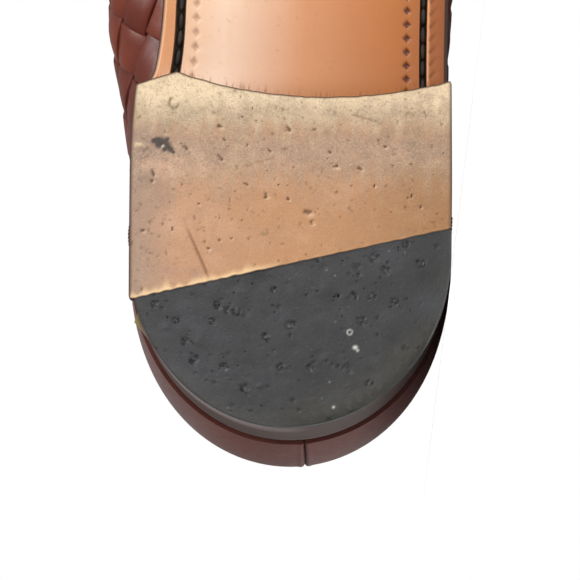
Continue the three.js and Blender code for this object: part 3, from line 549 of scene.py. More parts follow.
# %% Groove, lozenges and the arch of the waist
GROOVE_DEEP = 1.3
NICK_PITCH, NICK_DEEP = 2.6, 0.2
LOZENGE_PITCH, LOZENGE_DEEP = 2.83, 0.45
LIP_HIGH, WAIST_CROWN = 0.18, 1.4
HEEL_FRONT = 70.0
on_outer = smooth((np.arange(len(loop)) - HALF_LOOP + 40) / 80)
near_heel = np.clip((92 - loop[:, 1]) / 17, 0, 1)
groove_at = mix(4.0 + 0.75 * near_heel, 5.4, on_outer)
lozenge_at = mix(7.4 + 1.2 * near_heel, 8.9, on_outer)
groove_half = mix(1.15, 0.82, on_outer)
beat = np.abs((loop_length / LOZENGE_PITCH) % 1 - 0.5) * LOZENGE_PITCH


def across_sole(flat):
    """Place between the edges of the sole: 1 at the inner edge, -1 at the outer edge."""
    inner, outer = reach_of[INNER](flat[..., 1]), reach_of[OUTER](flat[..., 1])
    return (2 * flat[..., 0] - inner + outer) / (inner + outer)


def crown(flat):
    """How far the waist is arched out between its edges."""
    arched = smooth((flat[..., 1] - 62) / 14) * (1 - smooth((flat[..., 1] - 125) / 45))
    return WAIST_CROWN * arched * np.maximum(1 - across_sole(flat) ** 2, 0)


print("groove", round(groove_at.min(), 1), "to", round(groove_at.max(), 1), "mm from the edge")

# %% Rings of the sole
edge_rings = [
    # inset from the edge, height above the underside
    (1.5, 5.0), (0.35, 5.0), (0.0, 4.6), (0.0, 2.6), (0.0, 1.0), (0.25, 0.35), (0.8, 0.06), (1.05, 0.0),
]
margin_steps = [-2.9, -2.55, -2.2, -1.85, -1.55]
groove_steps = [-1.25, -1.0, -0.9, -0.74, -0.36, 0.0, 0.36, 0.74, 0.9, 1.0, 1.45]
lozenge_steps = [-1.15, -0.9, -0.65, -0.4, -0.2, 0.0, 0.2, 0.4, 0.65, 0.9, 1.15, 2.3]
rings = [(np.full(len(loop), inset), lift) for inset, lift in edge_rings]
rings += [(groove_at + step, 0.0) for step in margin_steps]
rings += [(groove_at + step * groove_half, 0.0) for step in groove_steps]
rings += [(lozenge_at + step, 0.0) for step in lozenge_steps]

points, sole_paint = [], {"ink_and_edge_shade": [], "groove": [], "lozenge": [], "lip": [], "shaded_nick": [], "margin": []}
for inset, lift in rings:
    flat = loop + inward * inset[:, None]
    tread = smooth((flat[:, 1] - HEEL_FRONT) / 3) * (lift == 0)
    groove = np.clip(1 - np.abs(inset - groove_at) / groove_half, 0, 1) ** 0.45 * tread
    lozenge = np.clip(1 - beat / 0.98 - np.abs(inset - lozenge_at) / 1.08, 0, 1) * tread
    lip = np.exp(-(((inset - groove_at + 1.1) / 0.24) ** 2)) * tread * on_outer
    slant = (loop_length - 1.1 * (inset - groove_at)) / NICK_PITCH % 1
    # slanting nicks: a shallow dent, painted dark; the dark is partly painted shade in the cuts
    shaded_nick = np.exp(-(((slant - 0.5) / 0.13) ** 2)) * smooth((groove_at - 1.2 - inset) / 0.4) * tread * on_outer
    shaded_nick *= smooth((inset - groove_at + 3.4) / 1.6)
    carved = GROOVE_DEEP * groove + LOZENGE_DEEP * lozenge ** 0.6 + NICK_DEEP * shaded_nick
    relief = carved - LIP_HIGH * lip - crown(flat) * (lift == 0)
    points.append(np.column_stack([flat, sole_under(flat[:, 1]) + lift + relief]))
    # inked edge; on the outer side the dark also covers the bevel ring, partly painted shade along that edge
    sole_paint["ink_and_edge_shade"].append(np.maximum(float(lift > 0.2), on_outer * float(lift > 0)))
    sole_paint["groove"].append(np.clip(2.2 * groove, 0, 1))
    sole_paint["margin"].append(smooth((groove_at - 0.6 - inset) / 0.6) * (1 - on_outer) * tread)
    # the lozenges are painted fainter on the inner side, a painted highlight where the light falls
    sole_paint["lozenge"].append(np.clip(3 * lozenge, 0, 1) * mix(0.3, 1.0, on_outer))
    sole_paint["lip"].append(lip)
    sole_paint["shaded_nick"].append(shaded_nick)
ring_count, ring_size = len(rings), len(loop)
outsole_points = np.concatenate(points)
print("ring of", ring_size, "points,", ring_count, "rings")

# %% Closing the sole between its rings
outsole_faces = list(grid_faces(ring_count, ring_size, wrap=True, flip=True))
for ring, columns, is_top in ((0, 8, True), (ring_count - 1, 22, False)):
    rim = np.arange(ring_size) + ring * ring_size
    inner_rim, outer_rim = rim[: HALF_LOOP + 1], np.concatenate([[rim[0]], rim[HALF_LOOP:][::-1]])
    left, right = outsole_points[inner_rim][1:-1], outsole_points[outer_rim][1:-1]
    middle = left[:, None] + (right - left)[:, None] * np.linspace(0, 1, columns)[None, 1:-1, None]
    if is_top:
        middle[..., 2] = sole_top(middle[..., 1])
    else:
        middle[..., 2] = sole_under(middle[..., 1]) - crown(middle)
    shape = middle.shape[:2]
    ids = np.arange(shape[0] * shape[1]).reshape(shape) + len(outsole_points)
    ids = np.column_stack([inner_rim[1:-1], ids, outer_rim[1:-1]])
    quads = np.stack([ids[:-1, :-1], ids[1:, :-1], ids[1:, 1:], ids[:-1, 1:]], -1).reshape(-1, 4)
    outsole_faces += list(quads if is_top else quads[:, ::-1])
    outsole_points = np.concatenate([outsole_points, middle.reshape(-1, 3)])
    for values in sole_paint.values():
        values.append(np.zeros(shape[0] * shape[1]))
    for end in (0, -1):
        fan = np.concatenate([[inner_rim[end]], ids[end]])
        outsole_faces.append(tuple(fan if (end == 0) == is_top else fan[::-1]))
sole_paint = {key: np.concatenate(values) for key, values in sole_paint.items()}
print("sole", len(outsole_points), "points and", len(outsole_faces), "faces")

# %% Tones of the sole from edge to edge, with a painted highlight and painted shade
WAIST_TONES_AND_LIGHT = [
    # place from the inner to the outer edge, colour of the leather there, with a painted highlight near the
    # inner edge and painted shade deepening to the outer edge
    (0.0, (226, 172, 128)),
    (0.22, (249, 216, 189)),
    (0.5, (214, 150, 106)),
    (0.8, (192, 118, 60)),
    (1.0, (150, 84, 42)),
]
CUTS_AT, CUTS_WIDE = 3.4, 0.8
tone_places = [at for at, _ in WAIST_TONES_AND_LIGHT]
lit_tones = np.array([linear(*colour) for _, colour in WAIST_TONES_AND_LIGHT])
place = np.clip(0.5 - 0.5 * across_sole(outsole_points), 0, 1)
tan_light_and_shade_paint = np.stack([np.interp(place, tone_places, lit_tones[:, k]) for k in range(3)], 1)
past_breast = outsole_points[:, 1] - breast_at(outsole_points[:, 0])
sole_paint["cut"] = np.exp(-(((past_breast - CUTS_AT) / CUTS_WIDE) ** 2)) * (1 - sole_paint["ink_and_edge_shade"])
print("painted on the sole:", *sole_paint)

# %% [markdown]
# The tread side is oak-tanned leather, polished and a little worn: warm tan, with fine scratches along the
# foot.
# Its tone from edge to edge carries a painted highlight, a pale band near the inner edge, and painted shade
# that deepens towards the outer edge. A noise can't follow the edges of the sole, so this change of tone is
# painted on the points, and noise adds only clouds and scratches. Short knife cuts run along the heel. The
# inked edge is dark brown wax; on the outer side its dark reaches onto the bevel, partly painted shade there.
# Outside the groove the channel's lip stands up, cut in slanting nicks whose dark is partly painted shade.

# %% Finish of the sole leather
sole_finish, tree, shader = start_finish("sole_leather")
where = place_of(tree)
cloud = noise(tree, 38, 3, 0.6)
fine = noise(tree, 900, 3, 0.6)
streak = noise(tree, 6, 5, 0.7, vector=wire(tree, "ShaderNodeMapping", Vector=where, Scale=(60, 9, 60)))
nicks = noise(tree, 1, 2, 0.5, vector=wire(tree, "ShaderNodeMapping", Vector=where, Scale=(300, 160, 2200)))
# the painted tones hold a painted highlight near the inner edge and painted shade towards the outer edge
tan = painted(tree, "tan", "Color")
tan = blend(tree, spread(tree, cloud, 0.35, 0.68, 0, 0.14), tan, linear(176, 110, 66))
tan = blend(tree, times(tree, painted(tree, "margin"), 0.8), tan, linear(208, 140, 90))
tan = blend(tree, spread(tree, streak, 0.55, 0.72, 0, 0.16), tan, linear(188, 120, 74))
tan = blend(tree, spread(tree, fine, 0.62, 0.72, 0, 0.2), tan, linear(165, 104, 66))
tan = blend(tree, painted(tree, "lip"), tan, linear(236, 172, 126))
# dark of the nicks: partly painted shade in the cuts
tan = blend(tree, times(tree, painted(tree, "shaded_nick"), 0.8), tan, linear(104, 56, 28))
nicked = times(tree, painted(tree, "cut"), spread(tree, nicks, 0.56, 0.64))
tan = blend(tree, times(tree, nicked, 0.5), tan, linear(150, 84, 44))
tan = blend(tree, painted(tree, "lozenge"), tan, linear(98, 50, 34))
tan = blend(tree, painted(tree, "groove"), tan, linear(32, 22, 16))
# inked edge, reaching onto the outer bevel as painted shade
tan = blend(tree, painted(tree, "ink_and_edge_shade"), tan, linear(58, 38, 30))
rough = spread(tree, streak, 0.3, 0.75, 0.34, 0.5)
set_socket(tree, shader, Base_Color=tan, Roughness=rough, Specular_IOR_Level=0.3)
set_socket(tree, shader, Coat_Weight=0.15, Coat_Roughness=0.3)
set_socket(tree, shader, Normal=bump(tree, streak, 0.0001, 0.25, normal=bump(tree, fine, 0.00008, 0.3)))
make_piece(
    "sole_tread", outsole_points, outsole_faces, sole_finish, ["outsole"],
    sole_paint | {"tan": tan_light_and_shade_paint},
)

# %% [markdown]
# ## Thread in the groove
# The sole is sewn with a thick waxed thread that shows as a row of short, plump stitches at the bottom of
# the groove. A bevelled curve would run on like a cable, so each stitch is a short spindle of its own.

# %% Stitches
def stitch_row(centres, along, out, length, width, height, sides=7, stations=6):
    """Plump stitches, each a short spindle: its centre, its direction and the way it stands out."""
    along = along / np.linalg.norm(along, axis=1, keepdims=True)
    across = np.cross(along, out)
    across /= np.linalg.norm(across, axis=1, keepdims=True)
    out = np.cross(across, along)
    t = np.linspace(-1, 1, stations)
    plump = np.sqrt(np.maximum(1 - np.abs(t) ** 2.6, 0.02))
    angle = np.arange(sides) / sides * 2 * np.pi
    ring = (
        along[:, None, None] * (t * length / 2)[None, :, None, None]
        + across[:, None, None] * (plump[:, None] * np.cos(angle) * width / 2)[None, ..., None]
        + out[:, None, None] * (plump[:, None] * np.sin(angle) * height / 2)[None, ..., None]
    )
    points = (centres[:, None, None] + ring).reshape(-1, 3)
    one = grid_faces(stations, sides, wrap=True)
    per = stations * sides
    faces = [tuple(face + k * per) for k in range(len(centres)) for face in one]
    for k in range(len(centres)):
        faces.append(tuple(range(k * per, k * per + sides)))
        faces.append(tuple(range((k + 1) * per - 1, (k + 1) * per - sides - 1, -1)))
    return points, faces


# %% Waxed thread in place
thread_finish, tree, shader = start_finish("waxed_thread")
twist = wire(tree, "ShaderNodeTexWave", Vector=place_of(tree), Scale=260, Distortion=2.0)
black_brown = blend(tree, twist, linear(26, 20, 16), linear(48, 37, 29))
set_socket(tree, shader, Base_Color=black_brown, Roughness=0.6)
set_socket(tree, shader, Normal=bump(tree, twist, 0.0001, 0.4))

STITCH_PITCH, STITCH_SUNK = 3.6, 0.95
STITCH_LONG, STITCH_WIDE, STITCH_HIGH = 3.8, 1.25, 0.7
chosen = [np.searchsorted(loop_length, s) for s in np.arange(0, loop_length[-1], STITCH_PITCH)]
chosen = [i for i in chosen if i < len(loop) and loop[i, 1] > HEEL_FRONT + 4]
flat = (loop + inward * groove_at[:, None])[chosen]
centres = np.column_stack([flat, sole_under(flat[:, 1]) - crown(flat) + STITCH_SUNK])
slope = sole_under(flat[:, 1] + 0.5) - sole_under(flat[:, 1] - 0.5)
along = np.column_stack([tangent[chosen], tangent[chosen, 1] * slope])
downwards = np.tile([0.0, 0, -1], (len(centres), 1))
points, faces = stitch_row(centres, along, downwards, STITCH_LONG, STITCH_WIDE, STITCH_HIGH)
make_piece("sole_stitching", points, faces, thread_finish, sharp=80)

# %% [markdown]
# ## Heel
# Layers of leather are pegged under the seat, cut hollow at the front, and shaved to one smooth side that
# is inked and waxed. The walking layer is half leather, half a rubber tip at the back where the heel
# strikes the ground. A bevelled block would lose the hollow front, so one outline is worked out from the
# edge of the sole and drawn at many heights, a little smaller where two layers meet.

# %% Plan of the heel
TOP_LIFT = 6.0
BASE_INSET, BACK_INSET = 0.4, 1.6
JOINT_INNER, JOINT_OUTER = 27.1, 43.3


def heel_plan(inset, back_inset, fine=1):
    """Outline of the heel: from the outer front corner round the back, then along the front."""
    def side_line(side):
        corner = BREAST_INNER - NIP_DEPTH if side == INNER else BREAST_OUTER
        along = np.linspace(corner, HEEL_CENTRE, 12 * fine)
        straight = np.column_stack([side * (reach_of[side](along) - inset), along])
        turn = np.linspace(0, QUARTER, 26 * fine)[1:]
        wide, deep = reach_of[side](HEEL_CENTRE) - inset, HEEL_CENTRE - inset - back_inset
        back = np.column_stack([side * wide * np.cos(turn), HEEL_CENTRE - deep * np.sin(turn)])
        return np.concatenate([straight, back])

    outer, inner = side_line(OUTER), side_line(INNER)[:-1][::-1]
    x = mix(NIP_FROM, outer[0, 0], np.linspace(0, 1, 30 * fine)[:-1])
    breast = np.column_stack([x, breast_at(x)])
    nip = np.linspace(inner[-1], breast[0], 5)[1:-1]
    return np.concatenate([outer, inner, nip, breast])


def ragged(t, size, seed):
    """A chipped line along t: many small waves of chance lengths."""
    dice = np.random.default_rng(seed)
    waves = dice.uniform([0.25, 0, 0.3], [2.8, 6.3, 1.0], (16, 3))
    return size * sum(high * np.sin(t * pace + start) for pace, start, high in waves) / 2.6


def joint_at(x):
    """The slanting joint between leather and rubber, chipped towards the inner side."""
    straight = (JOINT_INNER + JOINT_OUTER) / 2 + (JOINT_INNER - JOINT_OUTER) / (2 * HEEL_CENTRE) * x
    return straight + ragged(x, mix(0.03, 0.08, smooth((x - 2) / 18)), 4)


print("heel outline", len(heel_plan(BASE_INSET, BACK_INSET)), "points")


# %% Stack of leather layers
SEAM_DEEP, SEAM_WIDE = 0.06, 0.03
GLUE_HIGH = 1.6
stack_levels = []
for share in np.linspace(0, 1, 19):
    seam = np.exp(-(min(abs(share - 1 / 3), abs(share - 2 / 3)) / SEAM_WIDE) ** 2)
    plan = heel_plan(mix(BASE_INSET, 0, share) + SEAM_DEEP * seam, mix(BACK_INSET, 0, share))
    height = mix(TOP_LIFT + GAP, sole_under(plan[:, 1]) - GAP, share)
    stack_levels.append(np.column_stack([plan, height]))
stack_points = np.concatenate(stack_levels)
size = len(stack_levels[0])
faces = [tuple(face) for face in grid_faces(len(stack_levels), size, wrap=True, flip=True)]
faces += [tuple(range(size - 1, -1, -1)), tuple(range(len(stack_points) - size, len(stack_points)))]
GLUE_AT, GLUE_SIZE = np.array([30.6, 23.4, 9.5]), np.array([2.4, 1.7, 3.2])
glue = np.exp(-((((stack_points - GLUE_AT) / GLUE_SIZE) ** 2).sum(1) ** 2))
stack_points[:, 0] += GLUE_HIGH * glue
height_share = np.repeat(np.linspace(0, 1, len(stack_levels)), size)
low_down = 1 - 0.85 * smooth((height_share - 0.2) / 0.3)
# mask low on the inner back: lower roughness, and a paler painted sheen there
polish_and_sheen = smooth((stack_points[:, 0] + 6) / 12) * smooth((30 - stack_points[:, 1]) / 12) * low_down
print("heel", len(stack_levels), "levels of", size, "points")

# %% Finish of the heel edge
heel_finish, tree, shader = start_finish("waxed_heel_edge")
layers = wire(tree, "ShaderNodeMapping", Vector=place_of(tree), Scale=(420, 14, 14))
band = noise(tree, 3, 4, 0.5, vector=layers)
brown = blend(tree, spread(tree, band, 0.35, 0.7), linear(48, 31, 25), linear(74, 48, 37))
brown = blend(tree, spread(tree, noise(tree, 300, 4, 0.7), 0.6, 0.75, 0, 0.4), brown, linear(104, 72, 55))
# paler tone where the mask is strong: a painted sheen on the inner back of the heel
brown = blend(tree, times(tree, painted(tree, "polish_and_sheen"), 0.6), brown, linear(98, 62, 54))
brown = blend(tree, painted(tree, "glue"), brown, linear(150, 132, 70))
rough = spread(tree, painted(tree, "polish_and_sheen"), 0, 1, 0.68, 0.2)
set_socket(tree, shader, Base_Color=brown, Roughness=rough, Specular_IOR_Level=0.4)
make_piece(
    "heel_layers", stack_points, faces, heel_finish, ["heel_stack"],
    {"glue": glue, "polish_and_sheen": polish_and_sheen},
)


# %% A thick slab from a grid of its underside
def slab(grid, height, thick, bevel=0.45):
    """A slab with a worn underside: its points, its faces, and how many points the underside has."""
    rows, columns = grid.shape[:2]
    face = np.concatenate([grid, height[..., None]], -1).reshape(-1, 3)
    ids = np.arange(rows * columns).reshape(rows, columns)
    rim = np.concatenate([ids[:-1, 0], ids[-1, :-1], ids[:0:-1, -1], ids[0, :0:-1]])
    flat = face[rim, :2]
    way = np.roll(flat, -1, 0) - np.roll(flat, 1, 0)
    way /= np.maximum(np.hypot(*way.T)[:, None], 1e-9)
    area = np.sum(flat[:, 0] * np.roll(flat[:, 1], -1) - flat[:, 1] * np.roll(flat[:, 0], -1))
    out = np.stack([way[:, 1], -way[:, 0]], 1) * np.sign(area)
    levels = [(bevel * 0.7, bevel * 0.3), (bevel, bevel), (bevel, thick)]
    loops = [np.column_stack([flat + out * shift, np.full(len(rim), lift)]) for shift, lift in levels]
    points = np.concatenate([face, *loops])
    count, start = len(rim), rows * columns
    ring_ids = [rim] + [np.arange(count) + start + k * count for k in range(3)]
    faces = [tuple(f) for f in grid_faces(rows, columns, flip=area < 0)]
    for low, high in zip(ring_ids, ring_ids[1:]):
        quads = np.stack([low, np.roll(low, -1), np.roll(high, -1), high], -1)
        faces += [tuple(q) for q in (quads if area > 0 else quads[:, ::-1])]
    faces.append(tuple(ring_ids[-1] if area > 0 else ring_ids[-1][::-1]))
    return points, faces, len(face)


# %% [markdown]
# ## Walking face: leather half
# The photograph shows this face best, so its marks are placed one by one: a black blotch with a pale speck,
# dents like rings, a long scratch and pits. A picture laid over the face would be flat. Here each mark is a
# formula on a fine grid, which gives both its colour and its depth. A dusty band lies along the front, and
# the tone is warmer towards the rubber.

# %% Grid of the leather half
LIFT_EDGE = BASE_INSET + 0.5
columns, rows = 250, 170
s = np.linspace(0, 1, columns)
x_guess = mix(-33.0, 32.2, s)
front = breast_at(x_guess) - 0.45 + ragged(x_guess, 0.06, 8)
back = joint_at(x_guess) + 0.3
y = back[None] + (front - back)[None] * np.linspace(0, 1, rows)[:, None]
x = mix(-(reach_of[OUTER](y) - LIFT_EDGE), reach_of[INNER](y) - LIFT_EDGE, s[None])
lift_grid = np.stack([x, y], -1)
print("leather half", rows, "by", columns, "points")


# %% Marks on the leather
def spot(x0, y0, wide, tall=None, hard=2.0):
    """A soft round mark, 1 at its middle, on the grid x, y of the face that is being worked on."""
    tall = tall or wide
    return np.exp(-(((x - x0) / wide) ** 2 + ((y - y0) / tall) ** 2) ** (hard / 2))


def ring(x0, y0, radius, wide, open_at=None):
    """A ring-shaped dent, left open on one side where an angle is given."""
    line = np.exp(-(((np.hypot(x - x0, y - y0) - radius) / wide) ** 2))
    if open_at is None:
        return line
    return line * smooth(0.9 - 0.9 * np.cos(np.arctan2(y - y0, x - x0) - open_at))


def scratch(x0, y0, x1, y1, wide):
    """A soft straight mark between two places."""
    way = np.array([x1 - x0, y1 - y0])
    t = np.clip(((x - x0) * way[0] + (y - y0) * way[1]) / (way @ way), 0, 1)
    return np.exp(-((np.hypot(x - x0 - t * way[0], y - y0 - t * way[1])) / wide) ** 2)


def hollows(count, small, large, deep):
    """Shallow dips and rises of chance sizes over the whole face."""
    total = np.zeros_like(x)
    for _ in range(count):
        px, py, size = rng.uniform(-32, 32), rng.uniform(0, 75), rng.uniform(small, large)
        total += rng.normal(0, deep) * spot(px, py, size, size * rng.uniform(0.5, 1.2))
    return total


def blend_in(base, share, colour):
    """Painted colours with a share of another colour laid over them."""
    return base + (linear(*colour) - base) * np.clip(share, 0, 1)[..., None]


# %% Pits, rings, blotch and scratches
rng = np.random.default_rng(5)
PITS = [
    # x, y, size
    (14.0, 63.5, 0.55), (9.6, 65.4, 0.3), (6.6, 64.6, 0.3), (13.1, 60.7, 0.4), (14.0, 57.1, 0.75),
    (21.0, 59.1, 0.55), (8.4, 59.6, 0.3), (3.9, 58.4, 0.45), (0.0, 63.0, 0.75), (7.4, 67.2, 0.35),
    (-8.4, 58.1, 0.5), (-9.5, 55.2, 0.7), (-14.6, 54.8, 0.65), (-19.8, 59.2, 0.5), (-25.1, 55.5, 0.35),
    (-25.1, 49.1, 0.45), (-26.9, 46.9, 0.4), (8.7, 51.6, 0.5), (2.1, 51.5, 0.3), (4.7, 49.3, 0.65),
    (0.1, 48.5, 0.5), (-3.9, 45.9, 0.9), (-4.7, 43.7, 0.6), (27.7, 53.9, 0.7), (27.9, 52.3, 0.5),
    (29.7, 42.1, 0.5), (23.7, 42.4, 0.35), (18.3, 47.5, 0.35), (16.4, 38.4, 0.5), (11.6, 40.5, 0.35),
    (14.0, 40.0, 0.3), (-17.5, 51.2, 0.4), (-27.8, 66.2, 0.45),
]
pits, pit_rim_highlights = np.zeros_like(x), np.zeros_like(x)
for px, py, size in PITS:
    lean, reach = rng.normal(0.8, 0.6), size * rng.uniform(0.3, 0.9)
    dx, dy = reach * np.cos(lean), reach * np.sin(lean)
    pits += 0.9 * scratch(px - dx, py - dy, px + dx, py + dy, size * rng.uniform(0.25, 0.42))
    for _ in range(3):
        (dx, dy), (wide, tall) = rng.normal(0, 0.5 * size, 2), rng.uniform(0.2 * size, 0.45 * size, 2)
        pits += rng.uniform(0.3, 0.8) * spot(px + dx, py + dy, wide, tall, 3)
    # pale patch on the wall of each pit that faces the light: a painted highlight, raised a little as well
    pit_rim_highlights += spot(px - 0.7 * size, py - 0.8 * size, 0.8 * size, 0.6 * size)
for _ in range(260):
    px, py, size = rng.uniform(-32, 31), rng.uniform(30, 75), 0.1 + 0.22 * rng.random() ** 2
    pits += rng.uniform(0.2, 0.8) * spot(px, py, size, size * rng.uniform(0.6, 1.4), 3)
for _ in range(150):
    if rng.random() < 0.35:
        px, py = rng.normal(28, 3), rng.uniform(34, 62)
    else:
        px, py = rng.uniform(-32, 31), rng.uniform(30, 74)
    lean, size = rng.normal(0.8, 0.9), rng.uniform(0.2, 0.8)
    pits += rng.uniform(0.25, 0.6) * scratch(
        px, py, px + size * np.cos(lean), py + size * np.sin(lean), rng.uniform(0.1, 0.2),
    )
pits, pit_rim_highlights = np.clip(pits, 0, 1), np.clip(pit_rim_highlights, 0, 1) * (1 - np.clip(pits, 0, 1))
rings_pressed = ring(23.4, 68.3, 1.0, 0.3, 2.4) + 0.7 * ring(-24.7, 65.5, 0.7, 0.25, -1.6)
rings_pressed = rings_pressed + 0.6 * ring(4.9, 41.8, 0.6, 0.25, 1.0)
BLOTCH = [
    # x, y, size
    (27.6, 60.4, 0.6), (26.9, 60.6, 0.8), (26.0, 60.4, 1.1), (25.0, 59.7, 1.05), (24.1, 58.7, 0.8),
    (26.6, 59.5, 0.75), (24.7, 60.9, 0.45), (23.5, 58.1, 0.4), (25.4, 58.6, 0.5),
]
blotch = np.clip(sum(spot(px, py, size, 0.85 * size, 4) for px, py, size in BLOTCH), 0, 1)
speck = spot(25.7, 59.4, 0.3, 0.24, 3)
long_scratch = scratch(21.9, 45.4, 16.2, 32.4, 0.27) * smooth((46 - y) / 8)
scratches = long_scratch + 0.6 * scratch(-13.1, 65.8, -18.0, 64.4, 0.22)
scratches = scratches + 0.4 * scratch(3, 57, 9, 55.2, 0.2)
scuffs = np.zeros_like(x)
for _ in range(90):
    px, py, turn, size = rng.uniform(-30, 30), rng.uniform(32, 74), rng.normal(0.4, 0.6), rng.uniform(0.8, 5)
    line = scratch(px, py, px + size * np.cos(turn), py + size * np.sin(turn), rng.uniform(0.06, 0.13))
    scuffs += rng.uniform(0.2, 0.7) * line
print(len(PITS), "pits in place,", round(100 * float((pits > 0.3).mean()), 1), "% of the face is pitted")

# %% [markdown]
# The colours go on in the order in which the heel got them: the hide, the rubbed and dusty front, the
# polish that is left towards the rubber, then dents, scratches and the black blotch, and at last the ink
# that has run over the edges. A painted highlight sits on the wall of each pit that faces the light.

# %% Colours of the leather half
to_front = breast_at(x) - y
to_joint = y - joint_at(x)
to_side = np.minimum(x + reach_of[OUTER](y) - LIFT_EDGE, reach_of[INNER](y) - LIFT_EDGE - x)
dusty = smooth((y - 61.2 + ragged(x, 0.8, 21)) / 4.8)
front_pale = smooth((y - 66 + ragged(x, 0.6, 24)) / 4)
hazy = np.exp(-(((y - 58.4 - ragged(x, 1.0, 22)) / 6.6) ** 2))
outer_warm = smooth((-x - 2) / 30) * (1 - dusty)
inner_grey = smooth((x - 21) / 11) * (1 - dusty)
inner_wear = smooth((x - 2) / 22) * smooth((to_front - 8) / 8)
crushed = np.exp(-((to_joint / (0.85 + ragged(x, 0.35, 23))) ** 2)) * smooth((x + 2) / 12)
joint_line = np.exp(-((to_joint / 0.35) ** 2))
inked = np.exp(-((to_side / 0.2) ** 2))

leather = linear(182, 135, 97) * np.ones_like(x)[..., None]
leather = blend_in(leather, 0.55 * inner_wear, (190, 148, 120))
leather = blend_in(leather, 0.85 * outer_warm, (154, 112, 72))
leather = blend_in(leather, 0.82 * hazy, (166, 140, 119))
leather = blend_in(leather, 0.8 * inner_grey, (156, 132, 116))
leather = blend_in(leather, 0.95 * dusty, (190, 168, 139))
leather = blend_in(leather, 0.9 * front_pale, (228, 204, 170))
leather = blend_in(leather, 0.3 * scuffs, (214, 190, 162))
for _ in range(70):
    px, py, size = rng.uniform(-30, 31), rng.uniform(30, 68), rng.uniform(1.0, 3.6)
    share = spot(px, py, size, size * rng.uniform(0.4, 1.0)) * (0.12 + 0.2 * inner_wear)
    leather = blend_in(leather, share, ((208, 166, 140), (152, 122, 106))[rng.integers(2)])
for _ in range(60):
    px, py, size = rng.uniform(-31, 32), rng.uniform(59, 75), rng.uniform(0.5, 1.7)
    share = rng.uniform(0.1, 0.3) * spot(px, py, size, size * rng.uniform(0.4, 0.9))
    leather = blend_in(leather, share, (132, 118, 94))
grimy = 0.4 * spot(24.8, 63.6, 1.5, 1.0) + 0.3 * spot(28.6, 52.6, 2.2, 1.6)
leather = blend_in(leather, grimy, (116, 102, 82))
leather = blend_in(leather, 0.7 * spot(30.7, 59.7, 1.0, 0.5, 3), (224, 200, 160))
# painted highlight on the lit wall of each pit
leather = blend_in(leather, 0.6 * pit_rim_highlights, (226, 192, 160))
leather = blend_in(leather, 0.8 * pits, (90, 62, 42))
leather = blend_in(leather, 0.75 * rings_pressed, (104, 92, 58))
leather = blend_in(leather, 0.75 * np.clip(scratches, 0, 1), (112, 66, 38))
leather = blend_in(leather, 0.88 * blotch, (50, 48, 48))
leather = blend_in(leather, 0.9 * speck, (214, 208, 200))
leather = blend_in(leather, 0.55 * joint_line, (206, 160, 106))
leather = blend_in(leather, 0.9 * crushed, (236, 202, 154))
leather = blend_in(leather, 0.4 * inked, (70, 50, 40))

# %% Depth of the leather half
wave = hollows(90, 1.0, 4.0, 0.1)
dents = 0.34 * pits + 0.22 * np.clip(rings_pressed, 0, 1) + 0.2 * np.clip(scratches, 0, 1) + 0.1 * blotch
raised = 0.12 * pit_rim_highlights + 0.2 * crushed
points, faces, size = slab(lift_grid, np.clip(dents - raised + 0.3 + wave, 0, 1), TOP_LIFT)
colour = np.concatenate([leather.reshape(-1, 3), np.tile(linear(70, 48, 38), (len(points) - size, 1))])
gritty = np.clip(0.25 + 0.75 * np.maximum(dusty, 0.8 * hazy) + 0.1 * inner_wear, 0, 1)
gritty = gritty * (1 - inked) * (1 - blotch)
gritty = np.concatenate([gritty.ravel(), np.zeros(len(points) - size)])
print("leather half", len(points), "points,", size, "of them on the worn face")

# %% [markdown]
# Grit is too fine to model: grains of sand and fibre are specks of two sizes, darker and paler than the
# hide, strongest where the leather is dusty.

# %% Finish of the worn heel leather
lift_finish, tree, shader = start_finish("worn_heel_leather")
sand = noise(tree, 2900, 2, 0.6)
specks = noise(tree, 1000, 4, 0.75)
cloud = noise(tree, 260, 5, 0.7)
grit = painted(tree, "gritty")
share = lambda value, low, high, most: times(tree, spread(tree, value, low, high, 0, most), grit)
base = painted(tree, "leather", "Color")
base = blend(tree, share(cloud, 0.48, 0.66, 0.3), base, linear(138, 116, 98))
base = blend(tree, share(cloud, 0.5, 0.34, 0.25), base, linear(214, 186, 150))
base = blend(tree, share(specks, 0.54, 0.66, 0.4), base, linear(122, 106, 82))
base = blend(tree, share(sand, 0.54, 0.7, 0.4), base, linear(110, 94, 74))
base = blend(tree, share(sand, 0.46, 0.32, 0.22), base, linear(232, 218, 186))
rough = spread(tree, specks, 0.3, 0.7, 0.55, 0.75)
set_socket(tree, shader, Base_Color=base, Roughness=rough, Specular_IOR_Level=0.3)
set_socket(tree, shader, Normal=bump(tree, sand, 0.0002, 0.5, normal=bump(tree, specks, 0.0003, 0.5)))
make_piece(
    "walking_leather", points, faces, lift_finish, ["heel_top_lift"],
    {"leather": colour, "gritty": gritty}, sharp=30,
)

# %% [markdown]
# ## Walking face: rubber half
# Charcoal rubber, half matt. Gravel has pressed it into crescent-shaped dents, its rim is chipped towards
# the outer side, and a little white paint sticks to it. It is made like the leather half, with the same
# kinds of marks on a grid between the joint and the round edge.

